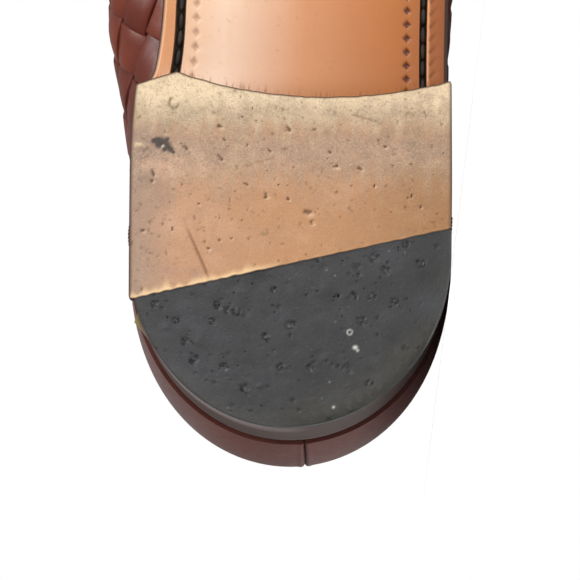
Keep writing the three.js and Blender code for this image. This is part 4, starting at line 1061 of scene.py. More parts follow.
# %% Grid of the rubber half
columns, rows = 300, 180
turn = np.linspace(0, 1, columns)
outline = heel_plan(LIFT_EDGE, BACK_INSET, fine=6)
outline = outline[: len(outline) * 3 // 4]
below = outline[outline[:, 1] < joint_at(outline[:, 0]) - 0.55]
length = np.concatenate([[0], np.cumsum(np.hypot(*np.diff(below, axis=0).T))])
arc = np.stack([np.interp(turn * length[-1], length, below[:, k]) for k in (0, 1)], 1)
line_x = mix(arc[0, 0], arc[-1, 0], turn)
line = np.column_stack([line_x, joint_at(line_x) - 0.3])
tip_grid = line[None] + (arc - line)[None] * np.linspace(0, 1, rows)[:, None, None]
x, y = tip_grid[..., 0], tip_grid[..., 1]
to_rim = np.linalg.norm(arc[None] - tip_grid, axis=-1)
print("rubber half", rows, "by", columns, "points")

# %% Dents in the rubber
CRESCENTS = [
    # x, y, size
    (10.6, 25.5, 1.0), (12.4, 25.7, 0.8), (14.7, 26.9, 0.9), (15.6, 23.5, 0.8), (-0.4, 22.6, 1.2),
    (4.7, 20.4, 0.8), (1.6, 14.2, 1.0), (-4.4, 14.2, 0.8), (-11.8, 13.8, 1.1), (-13.5, 33.6, 1.3),
    (-13.1, 28.5, 1.0), (-16.7, 28.7, 0.9), (-17.1, 36.9, 1.1), (-19.8, 34.2, 1.1), (-27.1, 35.2, 0.9),
    (-23.8, 39.2, 0.8), (-21.5, 27.5, 0.8), (-9.8, 28.5, 0.7), (-14.8, 23.5, 1.0), (19.0, 15.5, 1.2),
    (13.2, 14.2, 1.0), (23.0, 23.9, 0.9), (27.4, 27.1, 0.7), (-16.4, 10.8, 0.9), (-6.0, 36.2, 0.6),
    (9.0, 10.0, 0.9), (3.0, 30.0, 0.7), (21.0, 19.5, 1.0),
]
crescents, dent_highlights = np.zeros_like(x), np.zeros_like(x)
for px, py, size in CRESCENTS:
    way = rng.uniform(0, 6.3)
    crescents += 0.6 * ring(px, py, 0.7 * size, 0.22 * size, way)
    for _ in range(5):
        (dx, dy), (wide, tall) = rng.normal(0, 0.55 * size, 2), rng.uniform(0.15 * size, 0.4 * size, 2)
        crescents += rng.uniform(0.35, 0.8) * spot(px + dx, py + dy, wide, tall, 3)
    # pale streaks on the wall of each dent that faces the light: a painted highlight
    for _ in range(2):
        (dx, dy), lean = rng.normal(-0.45 * size, 0.4 * size, 2), rng.normal(2.3, 0.5)
        tail_x, tail_y = 0.5 * size * np.cos(lean), 0.5 * size * np.sin(lean)
        dent_highlights += rng.uniform(0.4, 1.0) * scratch(px + dx, py + dy, px + dx + tail_x, py + dy + tail_y, 0.16)
holes = spot(-0.7, 7.5, 0.45, 0.4, 3) + spot(2.2, 26.5, 0.5, 0.4, 3)
for _ in range(240):
    px, py, size = rng.uniform(-31, 31), rng.uniform(3, 40), 0.12 + 0.4 * rng.random() ** 3
    holes += rng.uniform(0.3, 0.9) * spot(px, py, size, size * rng.uniform(0.5, 1.2), 3)
white = 0.7 * ring(-12.4, 21.3, 0.5, 0.14) + spot(-13.5, 18.2, 0.5, 0.4, 3)
white = white + spot(-14.0, 17.6, 0.25) + spot(-9.1, 6.1, 0.25)
for _ in range(30):
    white += 0.4 * rng.random() * spot(rng.uniform(-31, 31), rng.uniform(3, 38), 0.08 + 0.1 * rng.random())
rubs = np.zeros_like(x)
for _ in range(70):
    px, py, way, size = rng.uniform(-28, 28), rng.uniform(5, 37), rng.normal(0.2, 0.7), rng.uniform(1, 6)
    line = scratch(px, py, px + size * np.cos(way), py + size * np.sin(way), rng.uniform(0.06, 0.14))
    rubs += rng.uniform(0.1, 0.4) * line
chip_wide = 1.0 + ragged(turn * length[-1], 0.45, 41)[None]
chipped = np.exp(-((to_rim / chip_wide) ** 2)) * smooth((8 - x) / 20) * smooth((24 - y) / 8)
worn_rim = np.exp(-((to_rim / 2.6) ** 2))
crescents, holes = np.clip(crescents, 0, 1), np.clip(holes, 0, 1)
print(len(CRESCENTS), "dents in place")

# %% Colours and depth of the rubber half
rubber = linear(45, 45, 46) * np.ones_like(x)[..., None]
# a paler bluish patch towards the inner side: a painted sheen
rubber = blend_in(rubber, 0.5 * spot(16, 18, 18, 14), (51, 51, 54))
rubber = blend_in(rubber, 0.3 * worn_rim, (72, 69, 62))
muddy = np.exp(-((to_rim / 6) ** 2)) * smooth((6 - x) / 14) * smooth((26 - y) / 10)
rubber = blend_in(rubber, 0.6 * muddy, (58, 55, 43))
for _ in range(110):
    px, py, size = rng.uniform(-32, 32), rng.uniform(2, 42), rng.uniform(0.8, 4.0)
    share = rng.uniform(0.1, 0.4) * spot(px, py, size, size * rng.uniform(0.4, 1.0))
    rubber = blend_in(rubber, share, ((64, 65, 69), (34, 34, 35))[rng.integers(2)])
rubber = blend_in(rubber, 0.35 * rubs, (92, 91, 90))
rubber = blend_in(rubber, 0.12 * crescents, (36, 36, 38))
# painted highlight in the dents
rubber = blend_in(rubber, 0.4 * dent_highlights, (116, 116, 118))
rubber = blend_in(rubber, 0.4 * holes, (28, 28, 30))
rubber = blend_in(rubber, 0.7 * chipped, (50, 49, 45))
rubber = blend_in(rubber, 0.85 * np.clip(white, 0, 1), (214, 212, 208))
uneven = hollows(170, 0.5, 2.0, 0.12) + hollows(40, 2.0, 5.0, 0.12)
tip_depth = 0.42 * crescents + 0.32 * holes + 0.06 * np.clip(rubs, 0, 1)
tip_depth = tip_depth + 0.35 * chipped - 0.1 * np.clip(dent_highlights, 0, 1)
points, faces, size = slab(tip_grid, np.clip(tip_depth + 0.25 + uneven, 0, 1), TOP_LIFT)
colour = np.concatenate([rubber.reshape(-1, 3), np.tile(linear(50, 50, 52), (len(points) - size, 1))])
print("deepest dent", float(tip_depth.max().round(2)), "mm")

# %% Finish of the rubber
rubber_finish, tree, shader = start_finish("charcoal_rubber")
fine = noise(tree, 1800, 3, 0.7)
speckle = noise(tree, 480, 5, 0.75)
base = painted(tree, "rubber", "Color")
base = blend(tree, spread(tree, fine, 0.6, 0.72, 0, 0.3), base, linear(98, 97, 96))
base = blend(tree, spread(tree, speckle, 0.58, 0.72, 0, 0.35), base, linear(38, 38, 40))
rough = spread(tree, speckle, 0.3, 0.7, 0.42, 0.62)
set_socket(tree, shader, Base_Color=base, Roughness=rough, Specular_IOR_Level=0.4)
set_socket(tree, shader, Normal=bump(tree, fine, 0.00015, 0.4, normal=bump(tree, speckle, 0.0004, 0.45)))
make_piece(
    "walking_rubber", points, faces, rubber_finish, ["heel_rubber_tip"],
    {"rubber": colour}, sharp=30,
)

# %% [markdown]
# ## The upper's surface as a table
# Every piece of the upper is a patch of the last, a little above or below it. Working out a rib takes time,
# so the whole surface is measured once on a fine table of ways round the shoe and heights above the sole. A
# patch then looks its points and outward directions up in the table.

# %% Table of the last
STEP = 0.6
table_runs = np.arange(-np.ceil(FULL_RUN / STEP), np.ceil(FULL_RUN / STEP) + 1) * STEP
table_runs = np.clip(table_runs, -FULL_RUN, FULL_RUN)
table_ups = np.arange(-5, 165, STEP)
ribs = [rib_at(run) for run in table_runs]
table_points = np.stack([rib.at(table_ups) for rib in ribs])
along_run = np.gradient(table_points, axis=0)
along_up = np.gradient(table_points, axis=1)
table_normals = np.cross(along_run, along_up)
table_normals /= np.linalg.norm(table_normals, axis=2, keepdims=True)
girths = np.array([rib.girth for rib in ribs])
print("table of the last", table_points.shape)

# %% Edges drawn on the last
COLLAR_BAND = 11.0
EDGE_SHIFTS = {"topline": 0.0, "brim": -1.0, "collar": COLLAR_BAND, "flat": COLLAR_BAND + 4.0}


def edge_heights(moved):
    """Height of the moved topline on every rib of the table, or the whole girth where the rib is closed."""
    line = topline_moved(moved)
    before_toe = np.abs(table_runs) < TOE_START
    return np.array([rib.edge_up(line) if before else rib.girth for before, rib in zip(before_toe, ribs)])


edges = {name: edge_heights(moved) for name, moved in EDGE_SHIFTS.items()}
edge_up = lambda name, run: np.interp(run, table_runs, edges[name])
girth_at = lambda run: np.interp(run, table_runs, girths)


def on_last(run, up, lift):
    """Points a given height above the last, and the way out there."""
    run, up = np.broadcast_arrays(np.asarray(run, float), np.asarray(up, float))
    column = np.clip((run - table_runs[0]) / STEP, 0, len(table_runs) - 1.001)
    row = np.clip((up - table_ups[0]) / STEP, 0, len(table_ups) - 1.001)
    i, j = column.astype(int), row.astype(int)
    s, t = (column - i)[..., None], (row - j)[..., None]

    def look(table):
        low = table[i, j] * (1 - s) + table[i + 1, j] * s
        high = table[i, j + 1] * (1 - s) + table[i + 1, j + 1] * s
        return low * (1 - t) + high * t

    out = look(table_normals)
    out = out / np.linalg.norm(out, axis=-1, keepdims=True)
    return look(table_points) + out * np.asarray(lift, float)[..., None], out


THROAT = next(along for along in np.linspace(120, 170, 201) if crest_at(along) < topline_at(along))
collar_edge = topline_moved(COLLAR_BAND)
COLLAR_FRONT = next(along for along in np.linspace(THROAT, 190, 201) if crest_at(along) < collar_edge(along))
print("throat at", round(THROAT, 1), "mm, front of the collar at", round(COLLAR_FRONT, 1), "mm")


# %% A sheet of leather on the last
def sheet(run, up, outside, inside, name, material, replaces=(), paint=None, sharp=50):
    """A closed sheet over a grid of places, between two heights above the last."""
    rows, columns = run.shape
    outer, inner = on_last(run, up, outside)[0], on_last(run, up, inside)[0]
    points = np.concatenate([outer.reshape(-1, 3), inner.reshape(-1, 3)])
    count = rows * columns
    faces = [*grid_faces(rows, columns), *grid_faces(rows, columns, start=count, flip=True)]
    ids = np.arange(count).reshape(rows, columns)
    rim = np.concatenate([ids[:-1, 0], ids[-1, :-1], ids[:0:-1, -1], ids[0, :0:-1]])
    nxt = np.roll(rim, -1)
    faces += list(np.stack([nxt, rim, rim + count, nxt + count], -1))
    paint = {key: np.concatenate([value.ravel(), value.ravel()]) for key, value in (paint or {}).items()}
    make_piece(name, points, faces, material, replaces, paint, sharp)


# %% [markdown]
# ## Lining
# Inside, the shoe is lined with thin tan leather. It is the wall that the strips are woven over, so it
# closes the gaps between them, and at the topline it turns up to meet the collar band. A single surface
# would do for a picture, but the mesh is kept too, so it is a closed sheet.

# %% Lining shell
lining_finish, tree, shader = start_finish("lining_leather")
cloud = noise(tree, 60, 4, 0.6)
grain = noise(tree, 1400, 3, 0.6)
hide = blend(tree, spread(tree, cloud, 0.35, 0.7), linear(176, 122, 82), linear(198, 146, 104))
set_socket(tree, shader, Base_Color=hide, Roughness=0.62, Normal=bump(tree, grain, 0.0001, 0.3))

LINING_OUT, LINING_IN, LINING_TURN = -0.75, -2.0, 1.2
lining_runs = np.linspace(-FULL_RUN, FULL_RUN, 231)
share = np.concatenate([np.linspace(0, 0.9, 22), [0.94, 0.97, 0.985, 1.0]])
open_top = edge_up("topline", lining_runs) < girth_at(lining_runs) - 0.5
top = edge_up("topline", lining_runs) - 0.4 * open_top
up = 0.4 + (top - 0.4)[:, None] * share[None]
run = np.broadcast_to(lining_runs[:, None], up.shape)
turned_up = smooth((up - top[:, None] + 4) / 2.5) * open_top[:, None]
outside, inside = LINING_OUT + LINING_TURN * turned_up, np.full(up.shape, LINING_IN)
sheet(run, up, outside, inside, "lining", lining_finish)

# %% [markdown]
# ## Insole
# A soft leather sock lies on the inside of the sole. A copy of the sole's outline could be filled and
# thickened. A ladder of points from edge to edge is chosen, because it can be dished a little under the
# heel.

# %% Insole
INSOLE_THICKNESS, WALL, ROOM = 2.4, 2.0, 1.6
insole_runs = np.concatenate([
    np.linspace(0.6, HEEL_RUN, 36),
    np.linspace(HEEL_RUN, TOE_START, 90)[1:],
    np.linspace(TOE_START, FULL_RUN - 0.8, 50)[1:],
])
across = np.linspace(0, 1, 25)
rows_of_insole = []
for run_here in insole_runs:
    ends = []
    for side in (OUTER, INNER):
        origin, way, edge, margin, _, swell, *_ = station(side, run_here)
        reach = edge - (margin + WALL + ROOM + 0.05 * swell)
        ends.append(np.array([origin[0] + way[0] * reach, origin[1] + way[1] * reach]))
    rows_of_insole.append(ends[0] + (ends[1] - ends[0]) * across[:, None])
flat = np.stack(rows_of_insole)
soft_edge = 0.5 * np.exp(-np.minimum(across, 1 - across) / 0.03)[None]
dish = 0.7 * np.sin(np.pi * across)[None] * (1 - smooth((flat[..., 1] - 50) / 30))
bed = sole_top(flat[..., 1]) + GAP
upper_face = np.concatenate([flat, (bed + INSOLE_THICKNESS - soft_edge - dish)[..., None]], -1)
lower_face = np.concatenate([flat, bed[..., None]], -1)
count, shape = flat.shape[0] * flat.shape[1], flat.shape[:2]
ids = np.arange(count).reshape(shape)
rim = np.concatenate([ids[:-1, 0], ids[-1, :-1], ids[:0:-1, -1], ids[0, :0:-1]])
faces = [*grid_faces(*shape, flip=True), *grid_faces(*shape, start=count)]
faces += list(np.stack([rim, np.roll(rim, -1), np.roll(rim, -1) + count, rim + count], -1))
points = np.concatenate([upper_face.reshape(-1, 3), lower_face.reshape(-1, 3)])
make_piece("sock_leather", points, faces, lining_finish, ["insole"])

# %% [markdown]
# ## Weave
# The upper is plaited from two families of leather strips that cross at right angles. A woven bump on one
# surface would look flat at the shoe's outline, so every strip is a ribbon of its own. The net is drawn
# flat, as the plaiter sees it, and then wrapped over the last: strips cross the middle line of the vamp at
# 45 degrees and turn with the quarters towards the heel.

# %% From the flat net to the last
STRIP = 9.4
NET_TURN = math.radians(-20)
NET_TURN_FROM, NET_TURN_TO = 150.0, 92.0
NET_MIDDLE, NET_END = 30.0, -10.0


def net_spine(side):
    """The line of the net that keeps its true length, from the waist backwards."""
    girth = lambda along: rib_at(side * run_at(along)).girth
    first = math.atan(girth(NET_TURN_FROM - 2) - girth(NET_TURN_FROM - 1))
    line = [(NET_TURN_FROM, girth(NET_TURN_FROM) - NET_MIDDLE)]
    for back in range(int(NET_TURN_FROM - NET_END + 6)):
        turn = mix(first, NET_TURN, smooth(back / (NET_TURN_FROM - NET_TURN_TO)))
        line.append((line[-1][0] - math.cos(turn), line[-1][1] + math.sin(turn)))
    return np.array(line)


spine_of = {side: net_spine(side) for side in (INNER, OUTER)}


def to_net(side, along, up):
    """Place on the flat net of a place on one side of the last."""
    back = np.maximum(NET_TURN_FROM - along, 0)
    turn = NET_TURN * smooth(back / (NET_TURN_FROM - NET_TURN_TO))
    line = spine_of[side]
    place = np.arange(len(line))
    bent_u = np.interp(back, place, line[:, 0]) - (up - NET_MIDDLE) * np.sin(turn)
    bent_v = np.interp(back, place, line[:, 1]) - (up - NET_MIDDLE) * np.cos(turn)
    ahead = along >= NET_TURN_FROM
    return np.where(ahead, along, bent_u), np.where(ahead, girth_at(side * run_at(along)) - up, bent_v)


def from_net(u, v):
    """Way round and height above the foot for places on the flat net; the outer side has positive v."""
    u, v = np.asarray(u, float), np.asarray(v, float)
    run, up = np.zeros_like(u), np.zeros_like(u)
    away, turn = np.hypot(u - TOE_CENTRE, v), np.arctan2(u - TOE_CENTRE, np.abs(v))
    for side in (INNER, OUTER):
        mine = (v > 0) == (side == OUTER)
        toe = mine & (u >= TOE_CENTRE)
        run[toe] = side * (TOE_START + turn[toe] / QUARTER * TOE_RUN)
        up[toe] = girth_at(run[toe]) - away[toe]
        body = mine & ~toe
        aim_u, aim_v = u[body], np.abs(v[body])
        along = np.maximum(aim_u, NET_END)
        high = girth_at(side * run_at(along)) - aim_v
        for _ in range(9):
            here_u, here_v = to_net(side, along, high)
            ahead_u, ahead_v = to_net(side, along + 0.5, high)
            above_u, above_v = to_net(side, along, high + 0.5)
            a, b, c, d = ahead_u - here_u, above_u - here_u, ahead_v - here_v, above_v - here_v
            miss_u, miss_v = aim_u - here_u, aim_v - here_v
            size = a * d - b * c
            bent = aim_u < NET_TURN_FROM + 20
            step_along = np.where(bent, 0.5 * (miss_u * d - miss_v * b) / size, 0)
            along = np.clip(along + step_along, NET_END, TOE_CENTRE)
            high = high + np.where(bent, 0.5 * (miss_v * a - miss_u * c) / size, 0)
        run[body], up[body] = side * np.maximum(run_at(along), 0), high
    return run, up


def net_point(u, v, lift):
    """Point above the last for a place on the flat net."""
    run, up = from_net(np.atleast_1d(u), np.atleast_1d(v))
    return on_last(run, up, np.atleast_1d(lift))[0]


print("middle of the vamp", net_point(TOE_CENTRE, 0.0, 0.0)[0].round(1))

# %% [markdown]
# Each strip is a ribbon of leather with rounded edges. It rises over one crossing strip and dips under the
# next, so the two families lock. Under the counter and the collar the plait is pressed flat.

# %% Ribbons
CELLS = 31
RIBBON = 0.97  # width of a strip, as a share of its room
SWING, MIDDLE = 0.55, 0.38
FLAT_SWING, FLAT_MIDDLE = 0.3, 0.05
across_places = np.array([-1.0, -0.955, -0.86, -0.4, 0.4, 0.86, 0.955, 1.0])
across_drop = np.array([0.75, 0.2, 0.05, 0.0, 0.0, 0.05, 0.2, 0.75])
PER_CELL = 6
half = STRIP / (2 * math.sqrt(2))
rng = np.random.default_rng(11)

sections = np.arange(-CELLS * PER_CELL, CELLS * PER_CELL + 1) / PER_CELL
ribbon_points, ribbon_faces = [], []
ribbon_paint = {"tone": [], "low": [], "edge": []}
total = 0
for family in (0, 1):
    for number in range(-CELLS, CELLS):
        centre = 2 * number + 1
        along_strip = (2 * sections)[:, None] * np.ones(len(across_places))
        cross_strip = centre + across_places[None] * RIBBON * np.ones(len(sections))[:, None]
        i, j = (along_strip, cross_strip) if family == 0 else (cross_strip, along_strip)
        u, v = TOE_CENTRE + (i + j) * half, (i - j) * half
        near = (u > 5) & (u < TOE_CENTRE + 165) & (np.abs(v) < 200)
        if not near.any():
            continue
        rows = np.nonzero(near.any(1))[0]
        u, v = u[rows[0] : rows[-1] + 1], v[rows[0] : rows[-1] + 1]
        s = sections[rows[0] : rows[-1] + 1]
        run, up = from_net(u, v)
        top = edge_up("topline", run) - 1.2
        opened = edge_up("topline", run) < girth_at(run) - 0.8
        along = along_of(np.abs(run))
        past_edge = (up < -0.1) | (opened & (up > top)) | (up > girth_at(run) + 0.5)
        hidden = past_edge | (along < counter_edge_at(up) - 5)
        over = np.cos(np.pi * (s + number + family - 0.5))[:, None] * np.ones(u.shape)
        pressed = np.maximum(
            smooth((up - edge_up("flat", run) + 1) / 4) * (along < COLLAR_FRONT + 6),
            smooth((counter_edge_at(up) + 4 - along) / 4),
        )
        lift = mix(MIDDLE + SWING * over, FLAT_MIDDLE + FLAT_SWING * over, pressed)
        lift = lift - across_drop[None] * mix(1, 0.4, pressed)
        up_kept = np.where(opened, np.minimum(up, top), up)
        up_kept = np.maximum(up_kept, -0.1)
        points = on_last(run, up_kept, lift)[0]
        quads = grid_faces(*u.shape)
        kept = ~hidden.ravel()[quads].all(1)
        sides = np.sign(run).ravel()[quads]
        split = (sides.max(1) != sides.min(1)) & opened.ravel()[quads].any(1)
        quads = quads[kept & ~split]
        if not len(quads):
            continue
        used, small = np.unique(quads, return_inverse=True)
        ribbon_points.append(points.reshape(-1, 3)[used])
        faces = small.reshape(quads.shape) + total
        ribbon_faces.append(faces[:, ::-1] if family == 0 else faces)
        total += len(used)
        ribbon_paint["tone"].append(np.full(len(used), rng.uniform(-1, 1)))
        ribbon_paint["low"].append(((1 - over) / 2).ravel()[used])
        ribbon_paint["edge"].append(np.broadcast_to(np.abs(across_places), u.shape).ravel()[used])
ribbon_paint = {key: np.concatenate(values) for key, values in ribbon_paint.items()}
print(len(ribbon_points), "strips,", total, "points")

# %% [markdown]
# The strips are calf leather in chestnut brown, glazed: the crowns shine. The edges are painted dark, partly
# for the dark polish they have kept and partly as painted shade in the gaps between the strips, and the dips,
# where a strip passes under its neighbour, are painted darker: painted shade.

# %% Finish of the woven leather
woven_finish, tree, shader = start_finish("woven_leather")
cloud = noise(tree, 45, 4, 0.6)
grain = noise(tree, 1700, 3, 0.65)
hair = noise(tree, 500, 4, 0.7)
tone = spread(tree, painted(tree, "tone"), -1, 1)
chestnut = blend(tree, tone, linear(96, 38, 24), linear(120, 54, 36))
chestnut = blend(tree, spread(tree, cloud, 0.4, 0.7, 0, 0.6), chestnut, linear(84, 36, 26))
chestnut = blend(tree, spread(tree, hair, 0.58, 0.72, 0, 0.3), chestnut, linear(64, 24, 18))
# painted shade where a strip dips under its neighbour
dip_shade = wire(tree, "ShaderNodeMath", settings={"operation": "POWER"}, i0=painted(tree, "low"), i1=1.6)
chestnut = blend(tree, times(tree, dip_shade, 0.75), chestnut, linear(50, 18, 14))
# strip edges: dark polish, and painted shade in the gaps between strips
rim_polish_and_shade = spread(tree, painted(tree, "edge"), 0.9, 1.0, 0, 0.8)
chestnut = blend(tree, rim_polish_and_shade, chestnut, linear(46, 18, 14))
rough = spread(tree, hair, 0.3, 0.7, 0.32, 0.46)
set_socket(tree, shader, Base_Color=chestnut, Roughness=rough, Specular_IOR_Level=0.17)
set_socket(tree, shader, Coat_Weight=0.04, Coat_Roughness=0.2)
set_socket(tree, shader, Normal=bump(tree, grain, 0.00009, 0.35, normal=bump(tree, hair, 0.00012, 0.25)))
make_piece(
    "woven_strips", np.concatenate(ribbon_points), np.concatenate(ribbon_faces),
    woven_finish, ["upper"], ribbon_paint, sharp=60,
)

# %% [markdown]
# ## Heel counter
# Two smooth pieces of leather stiffen the heel. They meet in a seam down the middle of the back, and their
# front edges are sewn over the plait. Cut out of a mesh of the last, their edges would be jagged, so the
# grid runs from edge to edge of the counter, finer beside the seam and the edges.

# %% Smooth leather
def smooth_leather(name, light, dark_tone, gloss):
    """Polished calf in two close tones, shinier where it is painted with polish."""
    finish, tree, shader = start_finish(name)
    cloud = noise(tree, 40, 4, 0.6)
    grain = noise(tree, 1900, 3, 0.65)
    pores = noise(tree, 620, 4, 0.7)
    brown = blend(tree, spread(tree, cloud, 0.36, 0.68), linear(*dark_tone), linear(*light))
    brown = blend(tree, spread(tree, pores, 0.6, 0.74, 0, 0.35), brown, linear(52, 26, 20))
    brown = blend(tree, painted(tree, "seam"), brown, linear(34, 15, 12))
    rough = spread(tree, pores, 0.3, 0.7, gloss + 0.2, gloss + 0.32)
    rough = times(tree, rough, times(tree, painted(tree, "polish_and_sheen"), 0.3), "SUBTRACT")
    set_socket(tree, shader, Base_Color=brown, Roughness=rough, Specular_IOR_Level=0.32)
    set_socket(tree, shader, Normal=bump(tree, grain, 0.00008, 0.3, normal=bump(tree, pores, 0.0001, 0.2)))
    return finish


counter_finish = smooth_leather("counter_leather", (104, 56, 47), (86, 44, 37), 0.36)
print("finish", counter_finish.name)


def edge_fall(distance, thick):
    """How far a cut edge of leather is rounded down, by the distance from it."""
    return thick * 0.75 * np.exp(-np.maximum(distance, 0) / 0.45)


# %% Counter and its back seam
COVER_SEAT, COVER = 0.6, 1.4  # height above the last and thickness of the cover
BACK_SEAM = -2.4
seam_share = BACK_SEAM / run_at(counter_edge_at(25.0))
fine = np.concatenate([
    np.linspace(0, 0.04, 15), np.linspace(0.05, 0.94, 44), [0.955, 0.97, 0.98, 0.99, 0.995, 1.0],
])
share = np.concatenate([-fine[:0:-1], fine])
share = share + seam_share * (1 - np.abs(share))
height = np.concatenate([
    [0, 0.006, 0.014, 0.03], np.linspace(0.06, 0.94, 34), [0.965, 0.985, 0.993, 1.0],
])
top = np.full(share.shape, 60.0)
for _ in range(8):
    top = edge_up("collar", share * run_at(counter_edge_at(top))) - GAP
up = 0.1 + (top - 0.1)[:, None] * height[None]
run = share[:, None] * run_at(counter_edge_at(up))
to_front = run_at(counter_edge_at(up)) - np.abs(run)
to_top = top[:, None] - up
from_seam = run - seam_share * run_at(counter_edge_at(up))
lips = 0.14 * np.exp(-((np.abs(from_seam) - 0.8) / 0.5) ** 2) - 0.5 * np.exp(-((from_seam / 0.2) ** 2))
outside = COVER_SEAT + COVER + lips - edge_fall(to_front, COVER) - edge_fall(to_top, COVER)
seam = np.exp(-((from_seam / 0.24) ** 2))
seam = seam + 0.6 * np.exp(-((to_front / 0.4) ** 2)) + 0.6 * np.exp(-((to_top / 0.4) ** 2))
polish_and_sheen = smooth((run + 4) / 30)
sheet(
    run, up, outside, np.full(up.shape, COVER_SEAT), "counter_leather", counter_finish,
    ["heel_counter"], {"seam": np.clip(seam, 0, 1), "polish_and_sheen": polish_and_sheen},
)

# %% Stitches on the last
SEAM_PITCH, SEAM_LONG, SEAM_THICK = 2.5, 2.0, 0.55


def wall_stitches(name, run, up, lift, height):
    """A row of stitches along a path of places on the last."""
    path, out = on_last(run, up, np.full(np.shape(run), lift))
    way = np.concatenate([[0], np.cumsum(np.linalg.norm(np.diff(path, axis=0), axis=1))])
    places = np.arange(SEAM_PITCH / 2, way[-1], SEAM_PITCH)
    pick = lambda table, at: np.stack([np.interp(at, way, table[:, k]) for k in range(3)], 1)
    along = pick(path, places + 0.3) - pick(path, places - 0.3)
    points, faces = stitch_row(pick(path, places), along, pick(out, places), SEAM_LONG, SEAM_THICK, height)
    make_piece(name, points, faces, seam_thread, sharp=80)


seam_thread, tree, shader = start_finish("seam_thread")
twist = wire(tree, "ShaderNodeTexWave", Vector=place_of(tree), Scale=400, Distortion=2.0)
brown = blend(tree, twist, linear(58, 30, 22), linear(104, 62, 44))
set_socket(tree, shader, Base_Color=brown, Roughness=0.55)
set_socket(tree, shader, Normal=bump(tree, twist, 0.00008, 0.4))

for side, name in ((INNER, "inner"), (OUTER, "outer")):
    up_path = np.linspace(1.5, top[0 if side == OUTER else -1] - 1.5, 60)
    run_path = side * (run_at(counter_edge_at(up_path)) - 2.2)
    wall_stitches(f"counter_stitching_{name}", run_path, up_path, COVER_SEAT + COVER + 0.05, 0.4)

# %% [markdown]
# ## Collar band
# A smooth band binds the foot opening. Its upper edge is rolled over a cord, and it is sewn down along its
# lower edge. It runs round the whole topline and comes to a point on the vamp, in front of the throat. A
# bevelled curve would give the roll alone, so the band is a sheet with the roll pressed into its upper
# edge.

# %% Places of the collar
BAND_SEAT, BAND = 0.45, 0.95  # height above the last and thickness of the band
CURVE_FROM = 130


def crowding(start, end, count):
    """Places from start to end that crowd together towards the end; the first is left out."""
    return mix(start, end, 1 - (1 - np.linspace(0, 1, count)[1:]) ** 2)


quarter = np.concatenate([
    np.linspace(0, HEEL_RUN, 26),
    np.linspace(HEEL_RUN, run_at(CURVE_FROM), 48)[1:],
    run_at(crowding(CURVE_FROM, THROAT, 30)),
    run_at(crowding(THROAT, COLLAR_FRONT, 22)),
])
collar_runs = np.concatenate([-quarter[:0:-1], quarter])
high, low = edge_up("brim", collar_runs), edge_up("collar", collar_runs)
low[[0, -1]] = girth_at(collar_runs[[0, -1]])
low = np.minimum(low, high)
share = np.concatenate([
    [0, 0.02, 0.05, 0.1], np.linspace(0.18, 0.72, 8), [0.78, 0.82, 0.86, 0.9, 0.94, 0.97, 0.99, 1.0],
])
up = low[:, None] + (high - low)[:, None] * share[None]
run = np.broadcast_to(collar_runs[:, None], up.shape)
print("collar band up to", round(float((high - low).max()), 1), "mm wide")

# %% Collar
is_open = (edge_up("topline", collar_runs) < girth_at(collar_runs) - 0.5)[:, None]
to_low, to_high = up - low[:, None], high[:, None] - up
over_cord = 0.75 * np.exp(-((to_high - 1.3) / 1.0) ** 2) * is_open
roll = over_cord - 0.35 * np.exp(-((to_high - 3.2) / 0.5) ** 2) * is_open
outside = BAND_SEAT + BAND + roll - edge_fall(to_low, BAND) - edge_fall(to_high, BAND) * is_open
inside = (BAND_SEAT - 0.1 * smooth(1 - to_high / 2) * is_open) * np.ones(up.shape)
seam = 0.6 * np.exp(-((to_low / 0.4) ** 2)) + 0.4 * np.exp(-(((to_high - 3.2) / 0.5) ** 2)) * is_open
collar_finish = smooth_leather("collar_leather", (104, 54, 40), (84, 41, 31), 0.32)
sheet(
    run, up, outside, inside, "collar_band", collar_finish, ["collar_trim"],
    {"seam": np.clip(seam, 0, 1), "polish_and_sheen": np.full(up.shape, 0.6)},
)
sewn = (high - low) > 4.5
wall_stitches("collar_stitching", collar_runs[sewn], low[sewn] + 1.9, BAND_SEAT + BAND + 0.02, 0.34)

# %% [markdown]
# ## Lace and tassels
# A round leather lace comes out of the collar on both sides of the throat and is tied in a knot on the
# vamp. Its two ends carry a tassel each: a rolled cap with a fringe of cut strips. The shoe lies on its
# outer side, so they have slumped that way. A bevelled curve could make the lace. A tube of our own is
# chosen, so that the mesh and the route of the cord share their points.

# %% Lace paths
LACE = 3.2
LACE_BAR = [
    # along the net, across it, height above the last
    (151.5, 18.0, 4.1), (156.0, 15.5, 4.3), (161.0, 12.0, 4.6), (165.5, 7.2, 4.8),
]
LACE_ENDS = {
    "inner": [(171.2, -3.0, 4.6), (181.0, -7.0, 3.2), (191.0, -6.5, 4.0), (200.5, -2.5, 7.6)],
    "outer": [(171.2, 3.0, 4.6), (179.0, 6.5, 3.2), (187.0, 11.5, 4.0), (194.5, 17.5, 7.6)],
}


